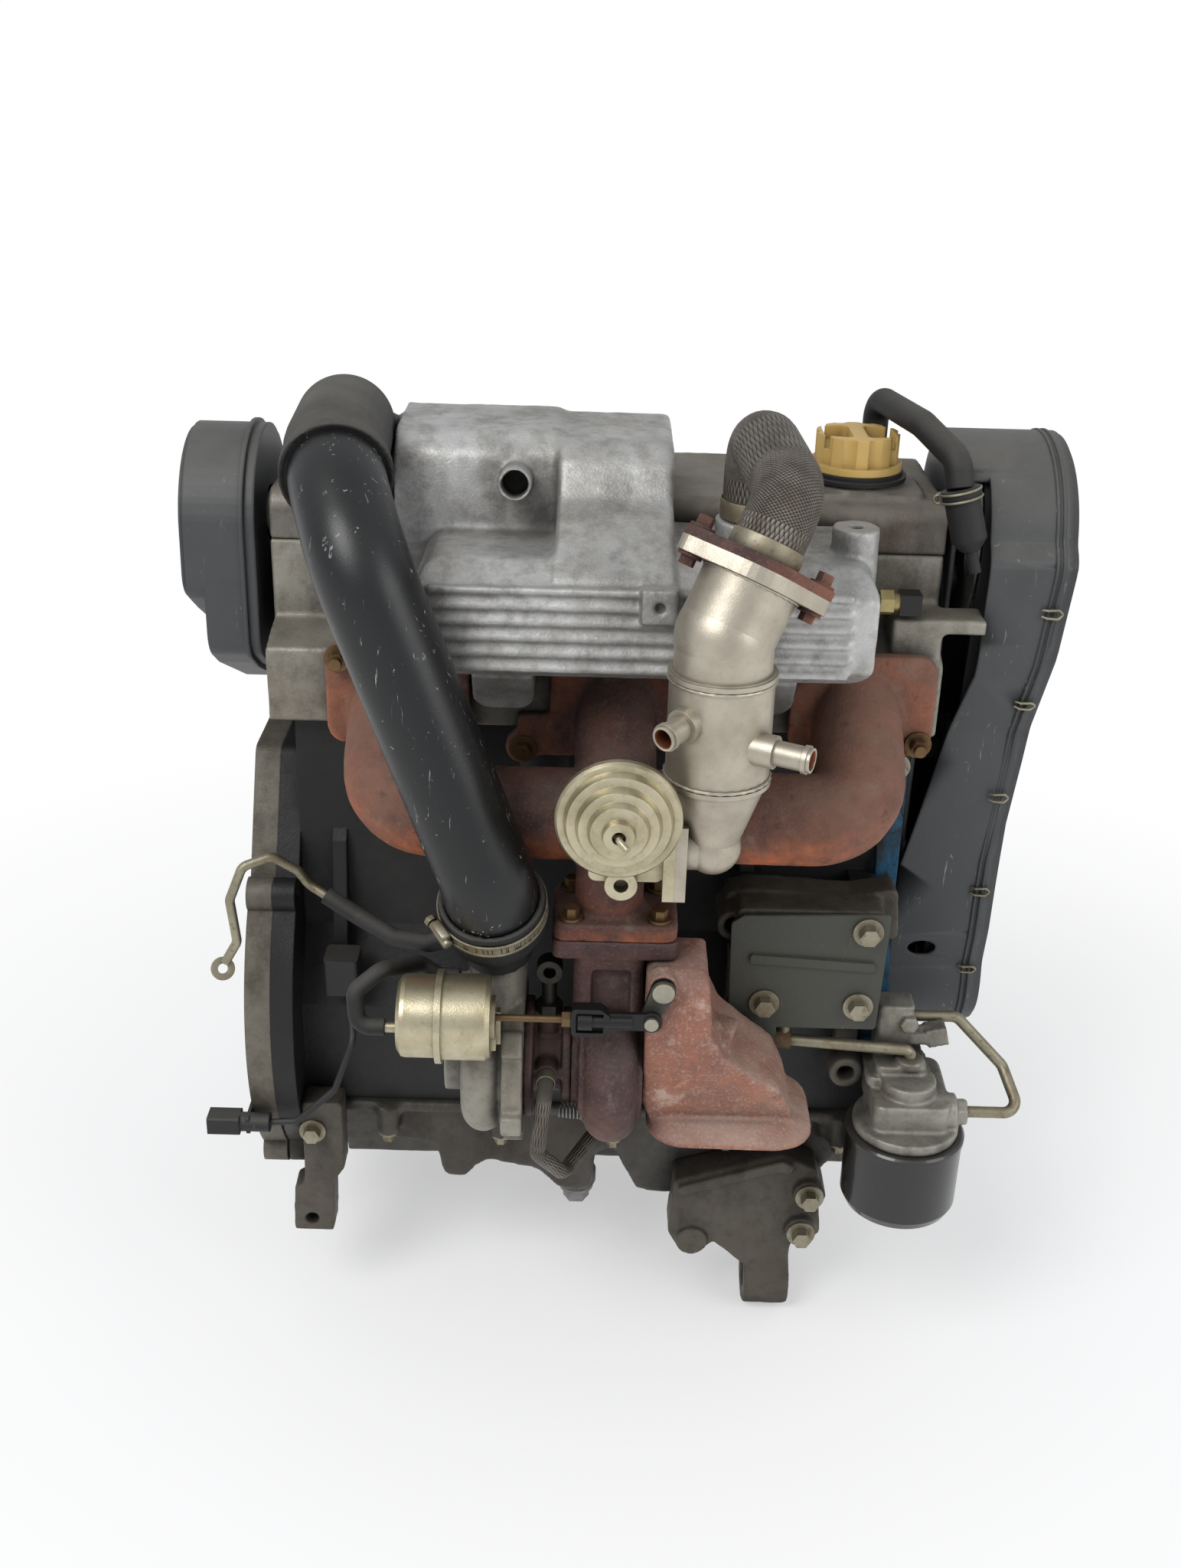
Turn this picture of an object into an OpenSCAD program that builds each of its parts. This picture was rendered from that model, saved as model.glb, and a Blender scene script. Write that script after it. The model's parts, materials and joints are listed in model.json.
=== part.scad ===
// Four-cylinder turbo-diesel car engine, seen here as a bare power unit.
// Frame: +X along the crankshaft towards the belt end, -Y the exhaust side, +Z up.
// The origin is on the crankshaft axis at the gearbox face.

/* [Block and crankshaft] */
// Distance between neighbouring cylinder centres
bore_pitch = 96; // [94:0.5:99]
// Piston stroke
stroke = 88.9; // [82:0.1:92]
// Deck height above the crankshaft axis
deck_z = 235; // [230:1:242]
// Depth of the sump joint below the crankshaft axis
rail_d = 60; // [55:1:64]
// Half width of the crankcase skirt
skirt_w = 112; // [106:1:118]
// Half width of the block at the deck
deck_w = 82; // [76:1:88]
// Thickness of the gearbox adapter plate
plate_t = 18; // [14:1:22]
// Thickness of the block's rear flange
flange_t = 16; // [12:1:20]
// Radius of the bell housing outline
bell_r = 152; // [149:1:158]
// Radius of a gearbox bolt hole
bell_hole_r = 5.25; // [4:0.25:6.5]
// Radius of the crankshaft main journals
main_r = 30; // [26:0.5:33]
// Radius of the crankpins
pin_r = 24; // [21:0.5:27]
// Running clearance of a shaft in its bearing
run_c = 0.05; // [0.02:0.01:0.1]
// Gap between pieces that must not rub
gap = 0.3; // [0.25:0.05:0.4]

/* [Flywheel] */
// Tip radius of the ring gear
ring_r = 137; // [134:0.5:139]
// Number of ring gear teeth
ring_teeth = 124; // [100:2:130]
// Thickness of the flywheel
fly_t = 17; // [14:0.5:18]
// How far the flywheel stands out of the adapter plate
fly_out = 3; // [2:0.5:6]
// Pitch radius of the clutch bolts
clutch_r = 118; // [112:0.5:122]
// Bore of the crankshaft pilot hole, radius
pilot_r = 12; // [9:0.5:15]

/* [Cylinder head and cover] */
// Thickness of the head gasket
gasket_t = 1.5; // [1:0.1:2]
// Height of the cylinder head
head_h = 115.5; // [112:0.5:120]
// Half width of the cylinder head at the ports
head_w = 100; // [97:1:102]
// Half width of the camshaft housing
cam_w = 62; // [58:1:64]
// Height of the camshaft cover
cover_h = 33; // [31:0.5:38]
// Camshaft journal radius
cam_r = 15; // [12:0.5:17]
// Camshaft lobe lift
cam_lift = 8; // [6:0.5:9]
// Oil filler cap radius
cap_r = 31; // [28:0.5:33]
// Oil filler cap height
cap_h = 24; // [18:0.5:28]

/* [Inlet manifold] */
// Depth of the inlet plenum in front of the head
plenum_d = 118; // [112:1:122]
// Height of the inlet plenum
plenum_h = 72; // [68:1:76]
// Number of stiffening ribs on the plenum
rib_n = 6; // [4:1:8]
// Height of the raised boxes over the camshaft cover
box_h = 46; // [40:1:50]
// Outer radius of the breather stub
stub_r = 10.5; // [9:0.5:12]

/* [Exhaust and turbocharger] */
// Outer radius of the exhaust manifold runners
runner_r = 30; // [27:0.5:32]
// Distance of the exhaust log in front of the head
log_d = 62; // [58:1:64]
// Distance of the turbocharger axis in front of the crankshaft
turbo_y = 195; // [192:1:198]
// Height of the turbocharger axis above the crankshaft
turbo_z = 38; // [36:1:40]
// Turbine wheel radius
turbine_r = 23; // [20:0.5:25]
// Compressor wheel radius
compressor_r = 26; // [22:0.5:28]
// Compressor back plate radius
comp_plate_r = 57; // [54:0.5:58]
// Travel of the wastegate rod
rod_travel = 7; // [4:0.5:8]
// Radius of the wastegate lever
lever_r = 19; // [17:0.5:21]
// Radius of the actuator canister
can_r = 27; // [25:0.5:28]
// Length of the actuator canister
can_l = 58; // [54:1:60]

/* [Exhaust gas recirculation] */
// Radius of the valve's diaphragm housing
egr_r = 37.5; // [34:0.5:38.5]
// Radius of the gas cooler body
cooler_r = 31; // [29:0.5:33]
// Height of the cooler's straight body
cooler_h = 72; // [66:1:76]
// Outer radius of the coolant spigots
spigot_r = 7.5; // [6:0.5:9]
// Outer radius of the braided flexible pipe
braid_r = 21; // [18:0.5:23]

/* [Intake pipe] */
// Outer radius of the intake pipe
pipe_r = 29.5; // [27:0.5:31]
// Wall of the intake pipe
pipe_wall = 3; // [2:0.5:4]

/* [Belt drives] */
// Pitch radius of the crankshaft sprocket
sprocket_r = 30; // [27:0.5:32]
// Number of teeth on the crankshaft sprocket
sprocket_teeth = 24; // [20:1:28]
// Width of the timing belt
belt_w = 26; // [22:1:30]
// Thickness of a belt
belt_t = 4; // [3:0.5:5]
// Wall of the plastic covers
cover_t = 3; // [2.5:0.25:4]
// Radius of the pump drive pulleys
drive_r = 40; // [36:0.5:43]

/* [Oil system and sump] */
// Oil filter radius
filter_r = 42; // [38:0.5:43.5]
// Oil filter height
filter_h = 64; // [58:1:72]
// Depth of the sump below its joint
sump_h = 75; // [70:1:82]
// Thickness of the sump's rail flange
sump_rail = 9; // [7:0.5:11]
// Bore of the lower engine mount eye, radius
eye_r = 12; // [9:0.5:14]
// Width of the lower engine mount eye
eye_w = 34; // [28:1:38]

/* [Hidden] */
$fn = 48;
e = 0.02;                              // hairline between faces that meet at a slant

// stations along the crankshaft
blk0 = plate_t;                       // block rear flange face
body0 = plate_t + flange_t;           // block body start
cyl0 = body0 + 76;                    // first cylinder
function cyl(i) = cyl0 + i * bore_pitch;
function main_x(i) = cyl0 + (i - 0.5) * bore_pitch;
main_half = 12;                       // half width of a main bearing wall
blk1 = main_x(4) + main_half;         // block front face
web_gap = 2;                          // side clearance of a crank web
web_t = 18;
throw = stroke / 2;
bay_r = throw + pin_r + 16;           // crankcase clearance radius
rail_z = -rail_d;

// heights
head_z0 = deck_z + gasket_t;
head_z1 = head_z0 + head_h;           // camshaft axis and cover joint
cover_z1 = head_z1 + cover_h;
head0 = blk0 + 2;
head1 = blk1 + 12;
belt_x0 = blk1 + 36;                  // rear face of the timing belt

// ---- axis helpers ------------------------------------------------
module xcyl(x0, x1, y, z, r, f = 48) { translate([x0, y, z]) rotate([0, 90, 0]) cylinder(r = r, h = x1 - x0, $fn = f); }
module ycyl(x, y0, y1, z, r, f = 48) { translate([x, y1, z]) rotate([90, 0, 0]) cylinder(r = r, h = y1 - y0, $fn = f); }
module zcyl(x, y, z0, z1, r, f = 48) { translate([x, y, z0]) cylinder(r = r, h = z1 - z0, $fn = f); }
// extrude a profile drawn in (Y,Z), (X,Z) or (X,Y)
module along_x(x0, x1) { translate([x0, 0, 0]) rotate([90, 0, 90]) linear_extrude(x1 - x0) children(); }
module along_y(y0, y1) { translate([0, y1, 0]) rotate([90, 0, 0]) linear_extrude(y1 - y0) children(); }
module along_z(z0, z1) { translate([0, 0, z0]) linear_extrude(z1 - z0) children(); }
module box(x0, x1, y0, y1, z0, z1) { translate([x0, y0, z0]) cube([x1 - x0, y1 - y0, z1 - z0]); }
module soft(r) { offset(r = r, $fn = 24) offset(delta = -r) children(); }
module rect(x0, x1, y0, y1, r = 0) { if (r > 0) soft(r) translate([x0, y0]) square([x1 - x0, y1 - y0]); else translate([x0, y0]) square([x1 - x0, y1 - y0]); }
// flange bolt: washer face at the origin, head towards -Y, +Z, or any turned direction
module bolt_z(r = 5.5, h = 7) { cylinder(r = r * 1.75, h = 2, $fn = 32); translate([0, 0, 2]) cylinder(r = r * 1.15, h = h, $fn = 6); }
module bolt_f(x, y, z, r = 5.5, h = 7) { translate([x, y, z]) rotate([90, 0, 0]) bolt_z(r, h); }
module bolt_u(x, y, z, r = 5.5, h = 7) { translate([x, y, z]) bolt_z(r, h); }
module bolt_d(x, y, z, r = 5.5, h = 7) { translate([x, y, z]) rotate([180, 0, 0]) bolt_z(r, h); }

// ---- bent tube along points ---------------------------------------
function unit(v) = v / norm(v);
function turn(a, b, c) = acos(max(-1, min(1, unit(b - a) * unit(c - b))));
function cut(a, b, c, bend) = bend * tan(turn(a, b, c) / 2);
// place children, drawn along +Z, at p pointing along d
module aim(p, d) { translate(p) rotate([0, acos(max(-1, min(1, d[2] / norm(d)))), atan2(d[1], d[0])]) children(); }
// quarter of a torus that turns from direction u to direction w at the corner p
module bend_at(a, b, c, bend, r, f) {
  u = unit(b - a); w = unit(c - b); t = turn(a, b, c); s = bend * tan(t / 2);
  n = unit(cross(u, w)); c0 = b - u * s; o = c0 + unit(cross(n, u)) * bend;
  x = unit(c0 - o); y = cross(n, x);
  multmatrix([[x[0], y[0], n[0], o[0]], [x[1], y[1], n[1], o[1]], [x[2], y[2], n[2], o[2]], [0, 0, 0, 1]])
    rotate_extrude(angle = t, $fn = 72) translate([bend, 0]) circle(r = r, $fn = f);
}
// straight runs reach a hair into the bends, which are a hair fuller, so that each pair joins cleanly
bend_over = 0.05;
module tube(pts, bend, r, f = 32) {
  n = len(pts);
  reach = 0.6 * sqrt(2 * bend_over * bend);
  for (i = [0 : n - 2]) {
    s0 = i == 0 ? 0 : cut(pts[i - 1], pts[i], pts[i + 1], bend) - reach;
    s1 = i == n - 2 ? 0 : cut(pts[i], pts[i + 1], pts[i + 2], bend) - reach;
    u = unit(pts[i + 1] - pts[i]); l = norm(pts[i + 1] - pts[i]);
    if (l - s0 - s1 > 0.02) aim(pts[i] + u * s0, u) cylinder(r = r, h = l - s0 - s1, $fn = f);
  }
  if (n > 2) for (i = [1 : n - 2]) bend_at(pts[i - 1], pts[i], pts[i + 1], bend, r + bend_over, f);
}

// ---- shared outlines ------------------------------------------------
bell_low = 118;                        // lower edge of the bell outline
bell_n = 4;                            // gearbox bolts
bell_open = ring_r + 4;
module bell_bolts(r) { for (k = [0 : bell_n - 1]) rotate(45 + k * 360 / bell_n) translate([bell_r, 0]) circle(r = r); }
module bell_outline() {
  difference() {
    union() {
      intersection() { circle(r = bell_r, $fn = 96); translate([-bell_r, -bell_low]) square([2 * bell_r, 3 * bell_r]); }
      soft(10) polygon([[-112, 90], [-54, 197], [54, 197], [112, 90]]);
      bell_bolts(12);
    }
    bell_bolts(bell_hole_r);
  }
}
module block_profile() polygon([[-deck_w, deck_z], [-deck_w, 72], [-skirt_w, 20], [-skirt_w, rail_z],
  [skirt_w, rail_z], [skirt_w, 20], [deck_w, 72], [deck_w, deck_z]]);
// tooth outline: tip, flank, root, flank
function toothed(n, ro, ri) = [for (i = [0 : n - 1], k = [0 : 3])
  let (a = (i + [0, 0.22, 0.5, 0.72][k]) * 360 / n, r = k == 1 || k == 2 ? ri : ro) [r * cos(a), r * sin(a)]];

// ---- block, sump and gearbox end --------------------------------------
plug_boss = [blk1 - 14, 174];
module cylinder_block() color([0.16, 0.18, 0.21]) difference() {
  union() {
    along_x(body0, blk1) block_profile();
    along_x(blk0, body0) intersection() { bell_outline(); translate([-300, rail_z]) square([600, 600]); }
    // side ribs over each main bearing, both sides
    for (i = [0 : 4]) for (s = [-1, 1])
      along_x(main_x(i) - 5, main_x(i) + 5) polygon([[s * (deck_w - 1), 150], [s * (deck_w + 5), 140], [s * (skirt_w - 2), 22], [s * (skirt_w - 12), 20], [s * (deck_w - 1), 60]]);
    // water jacket bulges beside each cylinder
    for (i = [0 : 3]) for (s = [-1, 1])
      translate([cyl(i), s * (deck_w - 34), 0]) along_z(140, deck_z - 8) circle(r = 38);
    // front seal carrier and blanked boss
    xcyl(blk1 - 1, blk1 + 3.5, 0, 0, 40);
    ycyl(plug_boss[0], -deck_w - 18, -deck_w + 2, plug_boss[1], 10);
    // oil filter pad
    box(filter_x - 30, blk1, -skirt_w - 4, -skirt_w + 2, -36, 6);
    // pads for the accessory bracket
    for (x = [main_x(3), main_x(4) - 12]) box(x - 12, x + 12, -pad_y, -deck_w + 1, 95, 126);
  }
  for (i = [0 : 3]) xcyl(main_x(i) + main_half, main_x(i + 1) - main_half, 0, 0, bay_r, 96);
  xcyl(blk0 - 1, blk1 + 5, 0, 0, main_r + run_c);
  xcyl(blk0 - 1, body0, 0, 0, crank_flange_r + run_c);
  // core plugs on the far side
  for (i = [0 : 3]) translate([cyl(i), deck_w + 4.5, 150]) rotate([-90, 0, 0]) cylinder(r = 19, h = 6);
}

sump_w = skirt_w - 4;                  // half width of the sump walls
sump_z = rail_z - sump_h;              // floor of the sump
module sump() color([0.37, 0.36, 0.34]) difference() {
  union() {
    box(body0, blk1, -skirt_w - 6, skirt_w + 6, rail_z - sump_rail, rail_z);
    along_x(blk0, body0) intersection() { bell_outline(); translate([-300, -300]) square([600, 300 + rail_z]); }
    // cast body, seen from the side
    along_y(-sump_w, sump_w) soft(6) polygon([[body0 + 30, rail_z - 2], [body0 + 50, rail_z - 24], [body0 + 62, rail_z - 40],
      [128, rail_z - 44], [134, sump_z + 2], [150, sump_z], [160, sump_z + 12], [168, rail_z - 58], [206, rail_z - 66], [222, sump_z - 8],
      [246, sump_z - 8], [249, rail_z - 50], [256, rail_z - 46], [264, rail_z - 46], [270, rail_z - 60], [281, sump_z - 7], [300, sump_z - 10],
      [400, sump_z - 6], [440, rail_z - 36], [blk1 - 4, rail_z - 2]]);
    along_x(body0 + 20, blk1 - 12) polygon([[-90, rail_z - 2], [-62, sump_z - 12], [62, sump_z - 12], [90, rail_z - 2]]);
    // bolt bosses along the rail
    for (x = sump_bolt_x) for (s = [-1, 1]) zcyl(x, s * sump_bolt_y, rail_z - 26, rail_z - 2, 9, 32);
    // drain plug boss
    zcyl(drain_x, -drain_y, sump_z - 14, sump_z, 15);
    // dipstick side lug
    along_y(-sump_w - 8, -sump_w + 4) soft(8) polygon([[414, rail_z - 4], [414, rail_z - 26], [446, rail_z - 26], [446, rail_z - 4]]);
  }
  xcyl(body0 + 4, blk1 - 4, 0, 0, bay_r, 96);
  zcyl(drain_x, -drain_y, sump_z - 15, sump_z - 4, 7 + 0.02);
}
sump_bolt_y = sump_w + 8;
sump_bolt_x = [for (i = [0 : 4]) body0 + 60 + i * 84];
drain_x = 235;
drain_y = 90;
module drain_plug() color([0.22, 0.2, 0.18]) {
  zcyl(drain_x, -drain_y, sump_z - 14, sump_z - 4.2, 7);
  zcyl(drain_x, -drain_y, sump_z - 17, sump_z - 14, 13);
  zcyl(drain_x, -drain_y, sump_z - 27, sump_z - 17, 10, 6);
}
// zinc plated flange bolts of the sump rail, shield, covers and brackets
module flange_bolts() color([0.58, 0.56, 0.5]) {
  for (x = sump_bolt_x) for (s = [-1, 1]) bolt_d(x, s * sump_bolt_y, rail_z - 26, 4, 6);
  for (p = shield_holes) bolt_f(p[0], -shield_y - shield_t, p[1], 6, 8);
  bolt_f(blk1 - 9, -deck_w, 207, 5.5, 7);
  for (p = mount_bolts) bolt_f(p[0], -mount_front, p[1], 6, 8);
  for (k = [0 : 5]) bolt_u(head0 + 22 + k * (head1 - head0 - 44) / 5, cam_w - 12, cover_z1, 3.6, 5);
  bolt_f(leg_x + 8, -leg_y1, -70, 5.5, 7);
}
module gearbox_adapter_plate() color([0.42, 0.41, 0.38]) {
  along_x(0, plate_t) difference() { bell_outline(); circle(r = bell_open, $fn = 96); }
}
leg_x = body0;                         // leg hangs from the rear flange's inner face
leg_y0 = 118; leg_y1 = 140;
module rear_leg_bracket() color([0.35, 0.35, 0.33]) difference() {
  union() {
    along_y(-leg_y1, -leg_y0) soft(3) polygon([[leg_x, -46], [leg_x + 30, -46], [leg_x + 30, -104], [leg_x + 22, -116], [leg_x + 20, -162], [leg_x - 10, -162], [leg_x - 8, -122], [leg_x, -118]]);
    along_x(leg_x, leg_x + 8) polygon([[-leg_y1 + 2, -56], [-leg_y0 - 2, -56], [-leg_y0 + 2, -104], [-leg_y1 + 2, -104]]);
  }
  ycyl(leg_x + 4, -leg_y1 - 1, -leg_y0 + 1, -151, 5);
}

// ---- crankshaft and flywheel -------------------------------------------
crank_flange_r = 42;
fly0 = -fly_out;
fly1 = fly0 + fly_t;
nose_r = 18;
nose1 = belt_x0 + belt_w + 6;
boss_r = 22;
module crank_web(s) {
  translate([0, s * throw]) circle(r = pin_r + 7);
  circle(r = main_r + 7);
  intersection() { circle(r = throw + pin_r + 4, $fn = 64); translate([-80, s > 0 ? -100 : 12]) square([160, 88]); }
}
module crankshaft() color([0.45, 0.45, 0.46]) difference() {
  union() {
    xcyl(fly0, fly1 + 1, 0, 0, boss_r);
    xcyl(fly1, body0 - 1, 0, 0, crank_flange_r);
    for (i = [0 : 4]) xcyl(i == 0 ? body0 - 2 : main_x(i) - main_half - web_gap - 1, main_x(i) + main_half + (i == 4 ? 0 : web_gap + 1), 0, 0, main_r);
    for (i = [0 : 3]) {
      s = i == 0 || i == 3 ? 1 : -1;
      a = main_x(i) + main_half + web_gap; b = main_x(i + 1) - main_half - web_gap;
      along_x(a, a + web_t) crank_web(s);
      along_x(b - web_t, b) crank_web(s);
      xcyl(a + web_t - 1, b - web_t + 1, 0, s * throw, pin_r);
    }
    xcyl(blk1 - 1, nose1, 0, 0, nose_r);
  }
  xcyl(fly0 - 1, fly0 + 25, 0, 0, pilot_r);
}
module flywheel() color([0.33, 0.31, 0.29]) difference() {
  union() {
    xcyl(fly0, fly1 - 4, 0, 0, ring_r - 9.02, 96);
    xcyl(fly1 - 5, fly1, 0, 0, 80, 96);
    for (k = [0 : 5]) rotate([k * 60 + 30, 0, 0]) xcyl(fly0 - 4, fly0 + 1, 0, 32, 7, 6);
  }
  xcyl(fly0 - 5, fly1 + 1, 0, 0, boss_r + 0.02);
  for (k = [0 : 5]) rotate([k * 60, 0, 0]) xcyl(fly0 - 1, fly1 + 1, 0, clutch_r, 3.4, 24);
  // friction face relief
  difference() { xcyl(fly0 - 1, fly0 + 2, 0, 0, 76, 96); xcyl(fly0 - 2, fly0 + 3, 0, 0, 46, 96); }
}
module ring_gear() color([0.5, 0.3, 0.2]) along_x(fly0, fly0 + 12) difference() {
  polygon(toothed(ring_teeth, ring_r, ring_r - 5));
  circle(r = ring_r - 9, $fn = 96);
}

// ---- belt end ------------------------------------------------------------
cam_sprocket_r = 2 * sprocket_r;
cam_nose1 = belt_x0 + belt_w + 4;
tens_p = [-24, 196];                   // tensioner axis in (Y,Z)
tens_r = 26;
module sprocket(y, z, r, teeth, bore, hub) {
  translate([0, y, z]) {
    along_x(belt_x0 - 1, belt_x0 + belt_w + 1) difference() { polygon(toothed(teeth, r - gap, r - 2.4)); circle(r = bore + 0.02); }
    along_x(belt_x0 - 2.5, belt_x0 - 1) difference() { circle(r = r + 3, $fn = 64); circle(r = bore + 0.02); }
    along_x(belt_x0 + belt_w + 1, belt_x0 + belt_w + 2.5) difference() { circle(r = r + 3, $fn = 64); circle(r = bore + 0.02); }
  }
}
module crank_sprocket() color([0.4, 0.4, 0.42]) sprocket(0, 0, sprocket_r, sprocket_teeth, nose_r, 24);
module cam_sprocket() color([0.4, 0.4, 0.42]) difference() {
  sprocket(0, head_z1, cam_sprocket_r, 2 * sprocket_teeth, cam_r, 20);
  for (k = [0 : 4]) translate([0, 0, head_z1]) rotate([k * 72 + 36, 0, 0]) xcyl(belt_x0 - 4, belt_x0 + belt_w + 4, 0, 37, 11, 32);
  translate([0, 0, head_z1]) difference() { xcyl(belt_x0 + 8, belt_x0 + belt_w + 4, 0, 0, 52); xcyl(belt_x0 + 7, belt_x0 + belt_w + 5, 0, 0, 22); }
}
module belt_loop(g) hull() {
  translate([0, head_z1]) circle(r = cam_sprocket_r + g, $fn = 96);
  circle(r = sprocket_r + g, $fn = 96);
  translate(tens_p) circle(r = tens_r + g, $fn = 96);
}
module timing_belt() color([0.1, 0.1, 0.1]) along_x(belt_x0, belt_x0 + belt_w) difference() { belt_loop(belt_t); belt_loop(0); }
module tensioner_pulley() color([0.5, 0.5, 0.5]) translate([0, tens_p[0], tens_p[1]]) difference() {
  union() {
    xcyl(belt_x0 - 1, belt_x0 + belt_w + 1, 0, 0, tens_r - gap);
    xcyl(belt_x0 - 3, belt_x0 - 1, 0, 0, tens_r + 1.5 - 3);
  }
  xcyl(belt_x0 - 4, belt_x0 + belt_w + 2, 0, 0, 8 + run_c);
  difference() { xcyl(belt_x0 + 14, belt_x0 + belt_w + 2, 0, 0, tens_r - 5); xcyl(belt_x0 + 13, belt_x0 + belt_w + 3, 0, 0, 14); }
}
// outline of the belt covers in (Y,Z)
module cover_outline() offset(r = -14, $fn = 24) offset(r = 42, $fn = 24) union() {
  translate([0, head_z1]) circle(r = cam_sprocket_r - 8, $fn = 48);
  polygon([[-62, head_z1 - 6], [-60, 292], [-36, 232], [-32, 120], [-32, 60], [-20, 0], [24, 0], [40, 100], [36, 240], [50, 290], [44, head_z1]]);
  circle(r = sprocket_r + 2, $fn = 48);
}
cover_x0 = blk1 + 8;                   // back plate, low part
cover_xh = head1 + 6;                  // back plate beside the head
seam_x = belt_x0 + belt_w + 22;        // seam of the outer cover
outer_x = seam_x + 17;
module timing_cover() color([0.3, 0.3, 0.3]) difference() {
  union() {
    along_x(cover_x0, seam_x) difference() { cover_outline(); offset(delta = -cover_t) cover_outline(); }
    intersection() {
      along_x(cover_x0, seam_x) cover_outline();
      union() {
        box(cover_x0, cover_x0 + cover_t, -150, 150, -100, 214);
        box(cover_x0, cover_xh + cover_t, -150, 150, 214 - cover_t, 214);
        box(cover_xh, cover_xh + cover_t, -150, 150, 214 - cover_t, 500);
      }
    }
    // bearing post of the tensioner and the two cover studs
    xcyl(cover_x0 + 1, belt_x0 + belt_w + 6, tens_p[0], tens_p[1], 8);
  }
  // above the step the cover starts beside the head, and its front edge is cut back
  box(cover_x0 - 1, cover_xh, -150, 150, 214, 500);
  box(cover_x0 - 1, cover_xh + 20, -150, -cam_w + 8, 272, 500);
  translate([cover_x0 - 1, 0, 0]) rotate([90, 0, 0]) translate([0, 0, cam_w - 14]) linear_extrude(90)
    polygon([[0, 110], [cover_xh + 21 - cover_x0, 273], [cover_xh + 21 - cover_x0, 300], [-1, 300], [-1, 110]]);
  xcyl(cover_x0 - 1, cover_xh + 10, 0, 0, 44);
  xcyl(cover_xh - 1, cover_xh + 10, 0, head_z1, cam_r + 8);
  // timing inspection hole in the front wall
  translate([belt_x0 - 4, -120, 42]) rotate([-90, 0, 0]) scale([1.5, 1, 1]) cylinder(r = 7, h = 100, $fn = 32);
}
module timing_cover_outer() color([0.28, 0.28, 0.28]) difference() {
  union() {
    along_x(seam_x, outer_x - 6) cover_outline();
    along_x(outer_x - 6, outer_x - 2.5) offset(delta = -2) cover_outline();
    along_x(outer_x - 2.5, outer_x) offset(delta = -6) cover_outline();
  }
  along_x(seam_x - 1, outer_x - cover_t) offset(delta = -cover_t - 4) cover_outline();
}

// ---- head, camshaft and cover -----------------------------------------------
module head_profile() polygon([[-head_w, head_z0], [-head_w, head_z0 + 52], [-cam_w, head_z0 + 62], [-cam_w, head_z1],
  [cam_w + 22, head_z1], [cam_w + 22, head_z0 + 62], [head_w, head_z0 + 50], [head_w, head_z0]]);
module head_gasket() color([0.3, 0.3, 0.32]) along_z(deck_z, head_z0) difference() {
  rect(body0 + 2, blk1 - 2, -deck_w + 1, deck_w - 1, 8);
  for (i = [0 : 3]) translate([cyl(i), 0]) circle(r = 43);
}
cam_bay0 = head0 + 22; cam_bay1 = head1 - 20;
module cylinder_head() color([0.6, 0.6, 0.58]) difference() {
  union() {
    along_x(head0, head1) head_profile();
    // front ledge that carries the belt cover, and lifting lug posts
    box(head1 - 36, head1 + 26, -96, -66, head_z0 + 72, head_z0 + 82);
    box(head1 - 36, head1 - 2, -96, -60, head_z0 + 30, head_z0 + 82);
  }
  xcyl(head0 - 1, head1 + 1, 0, head_z1, cam_r + run_c);
  xcyl(cam_bay0, cam_bay1, 0, head_z1, cam_r + cam_lift + 4);
  // injector seats on the far side
  for (i = [0 : 3]) inj(i) translate([0, 0, -1]) cylinder(r = 11.02, h = 60);
}
// injector axis, leaning away from the cover
module inj(i) translate([cyl(i) + 14, cam_w + 24, head_z0 + 52]) rotate([-24, 0, 0]) children();
module lobe(a) rotate(a) { circle(r = cam_r + 1, $fn = 48); translate([cam_lift - 1, 0]) circle(r = cam_r - 5, $fn = 32); polygon([[0, cam_r + 1], [cam_lift - 1, cam_r - 5], [cam_lift - 1, -cam_r + 5], [0, -cam_r - 1]]); }
module camshaft() color([0.5, 0.5, 0.5]) translate([0, 0, head_z1]) {
  xcyl(drive_x0 - 3, cam_bay0 + 1, 0, 0, cam_r);
  xcyl(cam_bay1 - 1, cam_nose1, 0, 0, cam_r);
  xcyl(cam_bay0, cam_bay1, 0, 0, cam_r - 3);
  for (i = [0 : 3]) for (k = [0 : 1]) along_x(cyl(i) - 24 + k * 32, cyl(i) - 8 + k * 32) lobe([0, 180, 270, 90][i] + k * 110);
}
module cam_cover() color([0.5, 0.5, 0.49]) difference() {
  union() {
    along_x(head0, head1) intersection() {
      soft(14) rect(-cam_w, cam_w + 20, head_z1 - 30, cover_z1);
      translate([-150, head_z1]) square([300, 100]);
    }
    // raised spine towards the filler and its round seat
    along_z(cover_z1 - 1, cover_z1 + 4) rect(seat_x - 64, head1 - 14, seat_y - 34, seat_y + 34, 12);
    zcyl(seat_x, seat_y, cover_z1, cover_z1 + 8, cap_r + 2);
    // flange bolt pads on the far edge
    for (k = [0 : 5]) zcyl(head0 + 22 + k * (head1 - head0 - 44) / 5, cam_w - 12, cover_z1 - 12, cover_z1, 9, 32);
    // breather hose stub
    zcyl(seat_x + 20, seat_y + 56, cover_z1 - 4, cover_z1 + 20, 8, 32);
  }
  xcyl(head0 - 1, head1 + 1, 0, head_z1, cam_r + run_c);
  xcyl(cam_bay0, cam_bay1, 0, head_z1, cam_r + cam_lift + 4);
  zcyl(seat_x, seat_y, head_z1 + 5, cover_z1 + 9, neck_r);
}
seat_x = 412; seat_y = -16;
neck_r = 19;                           // filler neck bore
seat_z = cover_z1 + 8;
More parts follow.
